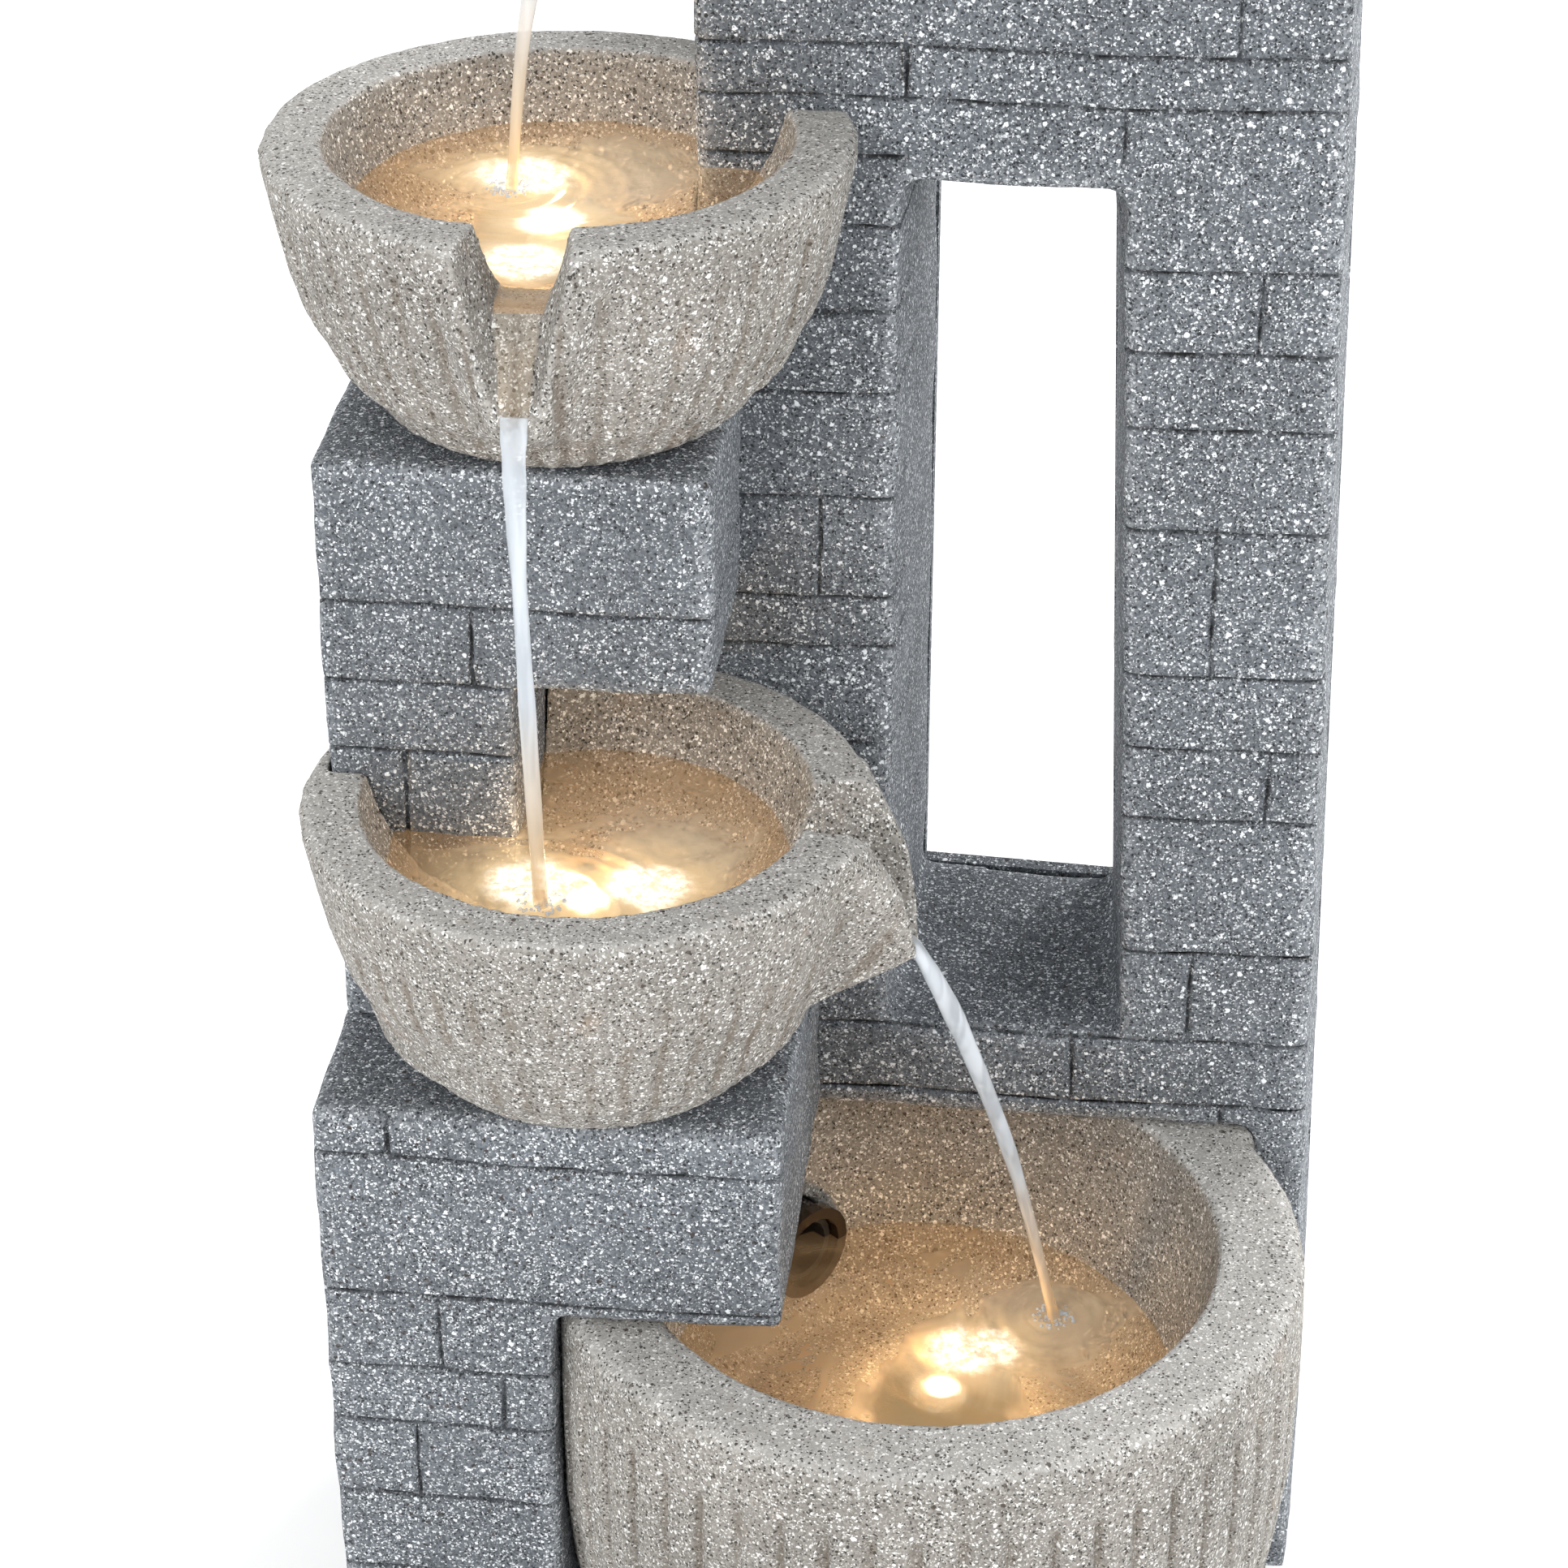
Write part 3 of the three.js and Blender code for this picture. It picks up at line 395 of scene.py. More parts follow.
def slice_along(mesh, cuts):
    """cuts: (axis, place in m, mask of faces near it)."""
    net = bmesh.new()
    net.from_mesh(mesh)
    net.faces.ensure_lookup_table()
    chosen = [
        (axis, place, [net.faces[i] for i in np.flatnonzero(near)]) for axis, place, near in cuts
    ]
    for axis, place, faces in chosen:
        faces = [f for f in faces if f.is_valid]
        normal, point = Vector((0, 0, 0)), Vector((0, 0, 0))
        normal[axis] = 1.0
        for shift in (-JOINT_HALF, -JOINT_FLAT, JOINT_FLAT, JOINT_HALF):
            point[axis] = place + shift * MM
            parts = list({e for f in faces for e in f.edges}) + faces
            parts += list({v for f in faces for v in f.verts})
            made = bmesh.ops.bisect_plane(
                net, geom=parts, plane_co=point, plane_no=normal, dist=1e-7
            )
            faces = [g for g in made["geom"] if isinstance(g, bmesh.types.BMFace)]
    net.to_mesh(mesh)
    net.free()


def centres_of(mesh):
    out = np.empty(len(mesh.polygons) * 3)
    mesh.polygons.foreach_get("center", out)
    return out.reshape(-1, 3)


def on_drawing(co):
    return (co - np.array([SHIFT_X, SHIFT_Y, 0])) / MM


def outer_skin(co, sides, reach=1.7):
    """True for places within reach of one of the outer faces. A side is (axis, place), in mm."""
    near = np.zeros(len(co), bool)
    for axis, place in sides:
        where = place(co) if callable(place) else place
        near |= np.abs(co[:, axis] - where) < reach
    return near


def carve(mesh, sides, beds, heads, depth_mm):
    """beds: (z, x from, x to); heads: (x, z from, z to), cut in the front face only."""
    c = on_drawing(centres_of(mesh))
    skin = outer_skin(c, sides)

    def near(axis, line):
        return np.abs(c[:, axis] - line) < 2.4

    def within(axis, a, b):
        return (c[:, axis] > a) & (c[:, axis] < b)

    slice_along(mesh, [
        (2, z * MM, skin & near(2, z) & within(0, a - 2, b + 2)) for z, a, b in beds
    ])
    c = on_drawing(centres_of(mesh))
    front = outer_skin(c, sides[:1])
    slice_along(mesh, [
        (0, x * MM + SHIFT_X, front & near(0, x) & within(2, a - 1, b + 1)) for x, a, b in heads
    ])

    co, out = points_of(mesh), normals_of(mesh)
    p = on_drawing(co)
    skin, front = outer_skin(p, sides), outer_skin(p, sides[:1])
    cut, stain = np.zeros(len(p)), np.zeros(len(p))
    for kind, lines, axis, along in (("bed", beds, 2, 0), ("head", heads, 0, 2)):
        where = skin if kind == "bed" else front
        for number, (line, a, b) in enumerate(lines):
            off = np.abs(p[:, axis] - line)
            way = p[:, along]
            span = ((way - a + 0.6) / 1.2).clip(0, 1) * ((b + 0.6 - way) / 1.2).clip(0, 1) * where
            press = 0.72 + 0.28 * np.sin(way / 5.3 + number * 1.7) * np.sin(way / 2.1 + number)
            slope = (1 - (off - JOINT_FLAT) / (JOINT_HALF - JOINT_FLAT)).clip(0, 1)
            cut = np.maximum(cut, slope * span * press)
            core = (1 - (off - JOINT_FLAT) / 0.4).clip(0, 1)
            smear = (1 - off / 1.6).clip(0, 1)
            stain = np.maximum(stain, (core * press + smear * 0.12) * span)
    put_points(mesh, co - out * (cut * depth_mm * MM)[:, None])
    keep_number(mesh, "groove", stain)


def sway(mesh):
    """Hand-cut lines are never straight: everything drifts a little up and down."""
    co = points_of(mesh)
    p = on_drawing(co)
    x, y, z = p.T
    drift = 0.3 * np.sin(x / 12.7 + 1.3) + 0.12 * np.sin(x / 3.4 + z / 11) + 0.15 * np.sin(y / 6.1)
    lean = 0.25 * np.sin(z / 7.9) + 0.15 * np.sin(z / 3.1 + x / 9)
    up = ((z - 8) / 8).clip(0, 1)
    co[:, 2] += drift * up * MM
    co[:, 0] += lean * up * MM * 0.6
    put_points(mesh, co)


print("carving tools are ready")


# %% [markdown]
# ## Wall, pedestals and capstone
# The courses of the real wall are uneven in height and each block runs a different length. Their
# lines are listed as bed joints (level) and head joints (upright), piece by piece.


# %% Courses
WALL_DEPTH, WALL_HEIGHT = 57.3, 353
SILL, WINDOW_HEIGHT = 136.5, 171.8
TAPER = 3.4  # how far each reveal of the window closes in towards the back


def wall_right(p):
    """The wall's right side leans in towards its top and widens towards its back."""
    return 91.9 - 10.5 * p[:, 2] / WALL_HEIGHT + 3.2 * p[:, 1] / WALL_DEPTH


def reveal_left(p):
    return 7.8 + TAPER * p[:, 1] / WALL_DEPTH


def reveal_right(p):
    return 52.3 - TAPER * p[:, 1] / WALL_DEPTH - 6.3 * (p[:, 2] - SILL) / WINDOW_HEIGHT


END = 95  # past the wall's right side, in mm
MASONRY = {
    "wall_shell": {
        "cell": 1.45, "ease": 1, "depth": 0.85,
        "sides": [(1, 0.0), (0, wall_right), (0, WALL_LEFT), (0, reveal_left), (0, reveal_right)],
        "beds": [
            (332.5, -28, END), (323.3, -28, END), (312.8, -28, 9), (300, -8, 9), (294.3, 45, END),
            (284, -28, 9), (279, 45, END), (268.4, -28, 9), (264.5, 45, END), (248, -28, 9),
            (244.7, 47, END), (228, -28, 9), (217.9, -28, 9), (215.5, 47, END), (200.2, 48, END),
            (197.9, -28, 10), (185.3, 48, END), (168, -5, 10), (156, 50, END), (135.9, -5, END),
            (121.2, -5, END),
        ],
        "heads": [
            (8.7, 323.3, 332.5), (63.6, 332.5, 353), (45.2, 313.5, 323.3), (-5.5, 228, 248),
            (64.9, 215.5, 244.7), (76.8, 185.3, 200.2), (64.9, 135.9, 156), (43.4, 121.2, 135.9),
            (70, 279, 294.3), (72, 95, 121.2),
        ],
    },
    "upper_pedestal": {
        "cell": 1.3, "ease": 3, "depth": 0.85,
        "sides": [(1, -43.3), (0, -87.3), (0, -19.5), (0, -54.5)],
        "beds": [
            (246, -90, -19), (230.6, -90, -54), (217, -90, -54), (193, -90, -54), (176, -90, -54),
        ],
        "heads": [(-61, 230.6, 246), (-74, 193, 217)],
    },
    "lower_pedestal": {
        "cell": 1.35, "ease": 3, "depth": 0.85,
        "sides": [(1, -72.8), (0, -88), (0, -5), (0, -46.3)],
        "beds": [
            (151.3, -90, -4), (121, -90, -4), (104.2, -90, -46), (91.4, -90, -46), (74, -90, -46),
            (56, -90, -46), (34, -90, -46), (19, -90, -46),
        ],
        "heads": [
            (-74.4, 151.3, 160), (-67, 104.2, 121), (-55.6, 91.4, 104.2), (-72, 74, 91.4),
            (-60, 34, 56), (-78, 19, 34),
        ],
    },
    "capstone": {
        "cell": 1.4, "ease": 2, "depth": 0.7,
        "sides": [(1, -12.0), (0, -34.0), (0, 88.0)],
        "beds": [(363, -36, 90)],
        "heads": [(-8, 363, 374), (31, 353, 363), (62, 363, 374)],
    },
}


def masonry(node, plan):
    piece = even_net(node, plan["cell"])
    ease(piece.data, plan["ease"])
    mark_edges(piece.data, 0.22)
    carve(piece.data, plan["sides"], plan["beds"], plan["heads"], plan["depth"])
    roughen(piece.data, 0.3, 0.1)
    sway(piece.data)
    keep_in_size(piece.data)
    piece.data.materials.append(WALL_STONE)
    piece.data.shade_smooth()
    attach(piece, "fountain")
    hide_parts(node)
    print(piece.name, "points", len(piece.data.vertices))


for node, plan in MASONRY.items():
    masonry(node, plan)

# %% [markdown]
# ## Fluted bowls and basin
# Flutes follow a rule: a groove every few degrees round the bowl's axis, each with its own depth.
# A geometry tree can say that once. It reads each point's angle, finds how far the nearest groove
# is, and pushes the point in. Carving each groove by hand would take as many steps as there are
# grooves.


# %% Flute tree
def new_tree(name, sockets):
    """A geometry tree that takes a mesh and the sockets, which are (name, kind), and ends it."""
    tree = bpy.data.node_groups.new(name, "GeometryNodeTree")
    for socket, kind in (("Geometry", "Geometry"), *sockets, ("Finish", "Material")):
        tree.interface.new_socket(socket, in_out="INPUT", socket_type="NodeSocket" + kind)
    tree.interface.new_socket("Geometry", in_out="OUTPUT", socket_type="NodeSocketGeometry")
    bench = Bench(tree)
    given = bench.add("NodeGroupInput").outputs

    def finish(made):
        real = bench.add("GeometryNodeRealizeInstances", {0: made}).outputs[0]
        plugs = {"Geometry": real, "Material": given["Finish"]}
        done = bench.add("GeometryNodeSetMaterial", plugs)
        bench.add("NodeGroupOutput", {0: done.outputs[0]})
        return tree

    return bench, given, finish


def flute_tree():
    numbers = ("Count", "Width", "Depth", "Top", "Fade", "Axis X", "Axis Y", "Seed", "Patchy")
    b, given, finish = new_tree("flutes", [(name, "Float") for name in numbers])
    p = b.add("ShaderNodeSeparateXYZ", {0: b.add("GeometryNodeInputPosition").outputs[0]}).outputs
    n = b.add("ShaderNodeSeparateXYZ", {0: b.add("GeometryNodeInputNormal").outputs[0]}).outputs
    dx, dy = b.sum("SUBTRACT", p[0], given["Axis X"]), b.sum("SUBTRACT", p[1], given["Axis Y"])
    radius = b.sum("SQRT", b.sum("MULTIPLY_ADD", dx, dx, b.sum("MULTIPLY", dy, dy)))
    turn = b.sum("DIVIDE", b.sum("ARCTAN2", dy, dx), 2 * pi)
    lane = b.sum("MULTIPLY_ADD", turn, given["Count"], 0.5)
    number = b.sum("FLOOR", lane)
    middle = b.sum("ABSOLUTE", b.sum("SUBTRACT", b.sum("FRACT", lane), 0.5))
    pitch = b.sum("DIVIDE", b.sum("MULTIPLY", radius, 2 * pi), given["Count"])
    away = b.sum("DIVIDE", b.sum("MULTIPLY", middle, pitch), b.sum("MULTIPLY", given["Width"], 0.5))
    shape = b.step(away, 0.35, 1.0, 1.0, 0.0)
    plugs = {"W": b.sum("ADD", number, given["Seed"])}
    luck = b.add("ShaderNodeTexWhiteNoise", plugs, noise_dimensions="1D").outputs["Value"]
    luck = b.sum("MULTIPLY_ADD", luck, 0.45, 0.55)
    start = b.sum("SUBTRACT", given["Top"], b.sum("MULTIPLY", luck, 0.004))
    below = b.step(b.sum("SUBTRACT", start, p[2]), 0.0, given["Fade"])
    outward = b.sum("DIVIDE", b.sum("MULTIPLY_ADD", n[0], dx, b.sum("MULTIPLY", n[1], dy)), radius)
    outside = b.step(outward, 0.2, 0.5)
    drift = b.add("ShaderNodeTexNoise", {"Scale": 45.0, "Detail": 2.0}).outputs[0]
    patch = b.sum("SUBTRACT", 1.0, b.sum("MULTIPLY", b.step(drift, 0.42, 0.6), given["Patchy"]))
    where = b.sum("MULTIPLY", below, b.sum("MULTIPLY", outside, patch))
    cut = b.sum("MULTIPLY", b.sum("MULTIPLY", shape, luck), where)
    inwards = b.sum("MULTIPLY", b.sum("MULTIPLY", cut, given["Depth"]), -1.0)
    plugs = {0: b.add("GeometryNodeInputNormal").outputs[0], "Scale": inwards}
    push = b.add("ShaderNodeVectorMath", plugs, operation="SCALE")
    # The cut is also kept as the groove mask, by which the stone finish darkens the flutes as
    # painted shade.
    plugs = {"Geometry": given["Geometry"], "Name": "groove", "Value": cut}
    kept = b.add("GeometryNodeStoreNamedAttribute", plugs, data_type="FLOAT", domain="POINT")
    plugs = {"Geometry": kept.outputs[0], "Offset": push.outputs[0]}
    return finish(b.add("GeometryNodeSetPosition", plugs).outputs[0])


def run_tree(piece, tree, values):
    modifier = piece.modifiers.new(tree.name, "NODES")
    modifier.node_group = tree
    for item in tree.interface.items_tree:
        if item.in_out == "INPUT" and item.name in values:
            modifier[item.identifier] = values[item.name]
    return finish_modifiers(piece)


FLUTES = flute_tree()
print("flute tree nodes", len(FLUTES.nodes))


# %% Bowls and basin
SEAT_RADIUS = 71.3  # of the basin's rim where it is bedded in the wall, in mm
FADE_MM = 5  # length over which a flute's top runs out


def bed_in(mesh, centre):
    """The basin's rim is bedded against the wall: behind its front face the rim fills its seat."""
    co = points_of(mesh)
    p = on_drawing(co)
    dx, dy = p[:, 0] - centre[0], p[:, 1] - centre[1]
    r = np.hypot(dx, dy)
    behind = (p[:, 1] > -1) & (p[:, 2] > 108) & (r > 64)
    grow = np.where(behind, SEAT_RADIUS / r, 1.0)
    co[:, 0] += dx * (grow - 1) * MM
    co[:, 1] += dy * (grow - 1) * MM
    put_points(mesh, co)


def fluted(node, vessel, cell, count, width, depth, start, patchy, seed):
    """Lengths are in mm. The flutes start below the rim; patchy wears some of them away."""
    centre = vessel["centre"]
    piece = even_net(node, cell)
    if node == "basin":
        bed_in(piece.data, centre)
    ease(piece.data, 1)
    mark_edges(piece.data, 0.14)
    roughen(piece.data, 0.2, 0.07)
    axis = at(*centre, 0)
    run_tree(piece, FLUTES, {
        "Count": float(count), "Width": width * MM, "Depth": depth * MM,
        "Top": (vessel["rim"] - start) * MM, "Fade": FADE_MM * MM,
        "Axis X": axis.x, "Axis Y": axis.y, "Seed": float(seed), "Patchy": patchy,
        "Finish": BOWL_STONE,
    })
    keep_in_size(piece.data)
    piece.data.shade_smooth()
    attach(piece, "fountain")
    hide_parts(node)
    print(piece.name, "points", len(piece.data.vertices))


fluted("top_bowl", BOWLS["top"], 0.85, 44, 2.7, 0.8, start=5, patchy=0.6, seed=3)
fluted("upper_bowl", BOWLS["upper"], 0.8, 44, 2.7, 0.9, start=2, patchy=0.45, seed=5)
fluted("middle_bowl", BOWLS["middle"], 0.8, 44, 2.7, 0.4, start=8, patchy=0.8, seed=8)
fluted("basin", BASIN, 1.18, 54, 2.6, 1.7, start=8, patchy=0.1, seed=2)

# %% [markdown]
# ## Water
# Each pool is a thin skin, because only its surface shows: rings spread from the place where the
# stream lands, and the lamp's glow above it is painted into the skin as a warm colour that gives
# off light. A skin that lets most light through keeps the lamps' light on the stone, which solid
# glass would hold back.


# %% Water finishes
WATER_IOR = 1.33
WATER_OVER_LAMP = 7.3  # from a lamp's place up to the water, in mm
LAMP_GLOW_RADIUS = 21  # of the painted glow over the lamp, which hides the lamp's body


def water_skin(name, lamp, spots, haze):
    """spots: (x, y, radius in mm, 1 for an even glow or 0 for a glow broken up like froth), each a
    painted glow; haze: (x, y, radius).
    """
    material, bench, surface = new_material(name)
    place = bench.place()
    froth = bench.clouds(place, 520.0, 4.0, Roughness=0.7)
    swirl = bench.clouds(place, 55.0, 3.0, Distortion=1.4)

    def near(x, y, radius):
        plugs = {0: place, 1: tuple(at(x, y, lamp[2] + WATER_OVER_LAMP))}
        away = bench.add("ShaderNodeVectorMath", plugs, operation="DISTANCE").outputs["Value"]
        reach = bench.sum("MULTIPLY", bench.step(swirl, 0.3, 0.7, 0.8, 1.2), radius * MM)
        return bench.sum("DIVIDE", away, reach)

    # Each spot is a painted glow of lamp light, with a painted halo round it.
    core, halo = 0.0, 0.0
    for x, y, radius, clean in spots:
        far = near(x, y, radius)
        patch = bench.step(far, 0.55, 1.05, 1.0, 0.0)
        if not clean:
            patch = bench.sum("MULTIPLY", patch, bench.step(froth, 0.38, 0.6, 0.35, 1.0))
        core = bench.sum("MAXIMUM", patch, core)
        halo = bench.sum("MAXIMUM", bench.step(far, 0.7, 2.3, 1.0, 0.0), halo)
    mist = bench.step(near(*haze), 0.3, 1.0, 1.0, 0.0)
    # Over the lamp the skin turns warm, pale and nearly opaque: a painted glow that hides the
    # lamp's body.
    over_lamp = near(spots[0][0], spots[0][1] - 3, LAMP_GLOW_RADIUS)
    over_lamp = bench.step(over_lamp, 0.55, 1.0, 1.0, 0.0)
    # The water's warm tint is painted lamp light.
    tint = bench.mix(bench.step(swirl, 0.35, 0.65), linear(176, 138, 96), linear(190, 154, 112))
    tint = bench.mix(over_lamp, tint, linear(214, 178, 128))
    tint = bench.mix(bench.sum("MULTIPLY", mist, 0.8), tint, linear(206, 190, 164))
    tint = bench.mix(halo, tint, linear(226, 198, 154))
    tint = bench.mix(core, tint, linear(255, 247, 228))
    share = bench.step(swirl, 0.35, 0.7, 0.36, 0.55)
    bright = bench.sum("MAXIMUM", core, over_lamp)
    for part, most in ((mist, 0.72), (bright, 0.98), (halo, 0.8)):
        share = bench.sum("MAXIMUM", share, bench.sum("MULTIPLY", part, most), clamp=True)
    shine = bench.sum("MULTIPLY_ADD", halo, 0.28, 0.14)
    ripple = bench.sum("MULTIPLY_ADD", froth, 0.4, swirl)
    # The skin gives off light in its own tint, brightest in the cores and halos: painted glow.
    bench.plug(surface, {
        "Base Color": tint, "Emission Color": tint, "Alpha": share, "Roughness": 0.06,
        "Emission Strength": bench.sum("MULTIPLY_ADD", core, 0.75, shine), "IOR": WATER_IOR,
        "Normal": bench.bump(ripple, 0.35, 1.0 * MM),
    })
    return material


def stream_water(name, film):
    """film: how much the thinnest water hides, from 0 to 1."""
    material, bench, surface = new_material(name)
    plugs = {"Vector": bench.place(), "Scale": (1.0, 1.0, 0.12)}
    long = bench.add("ShaderNodeMapping", plugs).outputs[0]
    rope = bench.clouds(long, 330.0, 1.0, Distortion=0.3)
    # The lower end of each stream takes a warm colour, and the whole stream gives off a faint glow:
    # painted lamp light.
    warm = bench.add("ShaderNodeAttribute", attribute_name="warm").outputs["Fac"]
    tint = bench.mix(warm, linear(206, 212, 218), linear(236, 206, 160))
    bench.plug(surface, {
        "Base Color": tint, "Emission Color": tint, "Emission Strength": 0.1,
        "Roughness": 0.08, "IOR": WATER_IOR, "Normal": bench.bump(rope, 0.3, 0.8 * MM),
        "Alpha": bench.step(rope, 0.35, 0.66, film, film * 1.9),
    })
    return material


RUNNING_WATER = stream_water("running_water", 0.42)
THIN_WATER = stream_water("thin_water", 0.05)
print("water finish", RUNNING_WATER.name)

# %% [markdown]
# A pool is a round net of rings. Height is a sum of ring waves from the landing place plus a slow
# swell, and the net's rim stops just inside the bowl's wall. Where masonry stands in the bowl, the
# faces behind its skin are left out.


# %% Pools
# The places where streams land, the pools' radii, and the painted glows and haze of water_skin, in
# mm.
LANDINGS = {"top": (12, 12), "upper": (-56.7, -12.5), "middle": (-47, -64), "basin": (42.5, -17)}
RADII = {"top": 36.3, "upper": 36.0, "middle": 36.0, "basin": 48.8}
GLOWS = {
    "top": ([(29, -5, 5, 1), (12, 12, 9, 0)], (20, 0, 24)),
    "upper": ([(-47.6, -25.5, 6.5, 1), (-55, -6, 9, 0), (-50, -42, 8, 0)], (-40, -5, 26)),
    "middle": ([(-39.2, -61.5, 5, 1), (-49, -58, 9.5, 0), (-30.5, -57, 8.5, 0)], (-26, -48, 22)),
    "basin": ([(22.5, -40.2, 4.2, 1), (25, -29.5, 8.5, 0), (31, -27.5, 7, 0)], (41, -18, 25)),
}


def disc_of_water(net, centre, radius, level, rings=64, spokes=144):
    def spot(r, k):
        angle = 2 * pi * k / spokes
        return net.verts.new(at(centre[0] + r * cos(angle), centre[1] + r * sin(angle), level))

    rows = [[net.verts.new(at(*centre, level))]]
    rows += [[spot(radius * i / rings, k) for k in range(spokes)] for i in range(1, rings + 1)]
    for k in range(spokes):
        net.faces.new((rows[0][0], rows[1][k], rows[1][(k + 1) % spokes]))
    for near, far in zip(rows[1:], rows[2:]):
        for k in range(spokes):
            j = (k + 1) % spokes
            net.faces.new((near[k], far[k], far[j], near[j]))


def tongue_of_water(net, centre, radius, level, turn):
    """The strip of water that leaves a bowl through its spout, and dips at its end."""
    strip = []
    for i in range(15):
        out, half = radius - 1.5 + i * 0.72, 4.5 - 0.03 * i
        height = level + 0.12 - max(0.0, i - 11) ** 2 * 0.09
        row = []
        for side in [half * (j / 3 - 1) for j in range(7)]:
            x = centre[0] + out * cos(turn) - side * sin(turn)
            y = centre[1] + out * sin(turn) + side * cos(turn)
            row.append(net.verts.new(at(x, y, height)))
        strip.append(row)
    for near, far in zip(strip, strip[1:]):
        for j in range(6):
            net.faces.new((near[j], far[j], far[j + 1], near[j + 1]))


def pool(name, centre, hidden):
    """hidden(x, y, z) says where masonry stands in the bowl."""
    radius, level = RADII[name], LEVELS[name]
    net = bmesh.new()
    disc_of_water(net, centre, radius, level)
    if name in BOWLS:
        tongue_of_water(net, centre, radius, level, radians(BOWLS[name]["turn"]))
    gone = [f for f in net.faces if hidden(*on_drawing(np.array(f.calc_center_median())))]
    bmesh.ops.delete(net, geom=gone, context="FACES")
    mesh = bpy.data.meshes.new("pool_" + name)
    net.to_mesh(mesh)
    net.free()
    co = points_of(mesh)
    p = on_drawing(co)
    lx, ly = LANDINGS[name]
    d = np.hypot(p[:, 0] - lx, p[:, 1] - ly)
    wave = 0.55 * np.exp(-d / 9) * np.cos(d * 1.9)
    wave += 0.16 * np.exp(-d / 26) * np.cos(d * 1.25 + 0.6)
    swell = np.array([noise.noise(Vector((q[0], q[1], level)) * 0.12) * 0.32 for q in p])
    co[:, 2] += (wave + swell) * MM
    put_points(mesh, co)
    mesh.shade_smooth()
    piece = link("pool_" + name, mesh)
    mesh.materials.append(water_skin("pool_water_" + name, LAMPS[name], *GLOWS[name]))
    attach(piece, "fountain")
    print(piece.name, "faces", len(mesh.polygons))


pool("top", BOWLS["top"]["centre"], lambda x, y, z: False)
pool("upper", BOWLS["upper"]["centre"], lambda x, y, z: x > -26.5 and y > 0.8)
pool(
    "middle", BOWLS["middle"]["centre"],
    lambda x, y, z: (x < -55.3 and y > -42.5) or (x > -26.5 and y > 0.8),
)
pool("basin", BASIN["centre"], lambda x, y, z: x < -45.5)

# %% [markdown]
# A falling stream is a rope of water: wide and flat in the spout, drawn in by its own speed on the
# way down, and twisted a little. It is swept along the path of the fall, with an oval section
# that narrows and turns.


# %% Streams
def smooth_path(points, count):
    """A Catmull-Rom curve through the points."""
    pts = [points[0]] + points + [points[-1]]
    out = []
    for s in np.linspace(0, len(points) - 1, count):
        i = min(int(s), len(points) - 2)
        t = s - i
        a, b, c, d = (np.array(pts[i + k], float) for k in range(4))
        bend, twist = 2 * a - 5 * b + 4 * c - d, 3 * b - a - 3 * c + d
        out.append(0.5 * (2 * b + (c - a) * t + bend * t * t + twist * t ** 3))
    return out


def stream(name, points, widths, thicks, side, twist_from, finish):
    """points, widths and thicks in mm; side is the broad way; twist_from is a share of the fall."""
    count, around, lamp_lit_mm = 150, 16, 42
    path = smooth_path([list(at(*p)) for p in points], count)
    marks = np.linspace(0, 1, len(points))
    net = bmesh.new()
    rows = []
    for i, spot in enumerate(path):
        s = i / (count - 1)
        ahead = path[min(i + 1, count - 1)] - path[max(i - 1, 0)]
        ahead /= np.linalg.norm(ahead)
        across = np.cross(np.cross(ahead, side), ahead)
        across /= np.linalg.norm(across)
        flat = np.cross(ahead, across)
        turn = max(0.0, s - twist_from) * 4.5
        w, t = np.interp(s, marks, widths) * MM / 2, np.interp(s, marks, thicks) * MM / 2
        pulse = 1 + 0.05 * sin(i * 0.13) + 0.03 * sin(i * 0.31)
        row = []
        for k in range(around):
            a = 2 * pi * k / around
            u, v = w * pulse * cos(a), t * pulse * sin(a)
            sideways, outward = u * cos(turn) - v * sin(turn), u * sin(turn) + v * cos(turn)
            row.append(net.verts.new(spot + across * sideways + flat * outward))
        rows.append(row)
    for i in range(count - 1):
        for k in range(around):
            j = (k + 1) % around
            net.faces.new((rows[i][k], rows[i][j], rows[i + 1][j], rows[i + 1][k]))
    net.faces.new(rows[0][::-1])
    net.faces.new(rows[-1])
    bmesh.ops.recalc_face_normals(net, faces=net.faces)
    mesh = bpy.data.meshes.new(name)
    net.to_mesh(mesh)
    net.free()
    mesh.shade_smooth()
    mesh.materials.append(finish)
    # The part of the stream nearest its pool gets the warm share: painted lamp light.
    low = min(p[2] for p in points)
    over = on_drawing(points_of(mesh))[:, 2] - low
    keep_number(mesh, "warm", 1 - (over / lamp_lit_mm).clip(0, 1))
    piece = link(name, mesh)
    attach(piece, "fountain")
    print(name, "faces", len(mesh.polygons))


stream(
    "film_top", [(-23, -5.7, 410.9), (-27.5, -7, 408), (-33, -8.4, 398), (-36, -9, 392.6)],
    [8, 6.6, 5, 4], [0.6, 0.6, 0.8, 1.2], (0, 1, 0), 2, THIN_WATER,
)
stream(
    "stream_top",
    [
        (-35, -8.9, 394.6), (-38.2, -9.4, 388), (-45, -10.4, 371), (-53, -11.8, 341),
        (-56.7, -12.5, 309.4),
    ],
    [3.8, 3.3, 2.9, 2.6, 2.3], [1.6, 2.2, 2.2, 2.1, 2], (0, 1, 0), 0.3, RUNNING_WATER,
)
stream(
    "film_upper",
    [
        (-47.8, -59.8, 309.5), (-47.8, -62.4, 306.6), (-47.8, -66.2, 298), (-47.8, -67.9, 292.6),
    ],
    [8, 7, 5.4, 4.4], [0.6, 0.7, 0.9, 1.4], (1, 0, 0), 2, THIN_WATER,
)
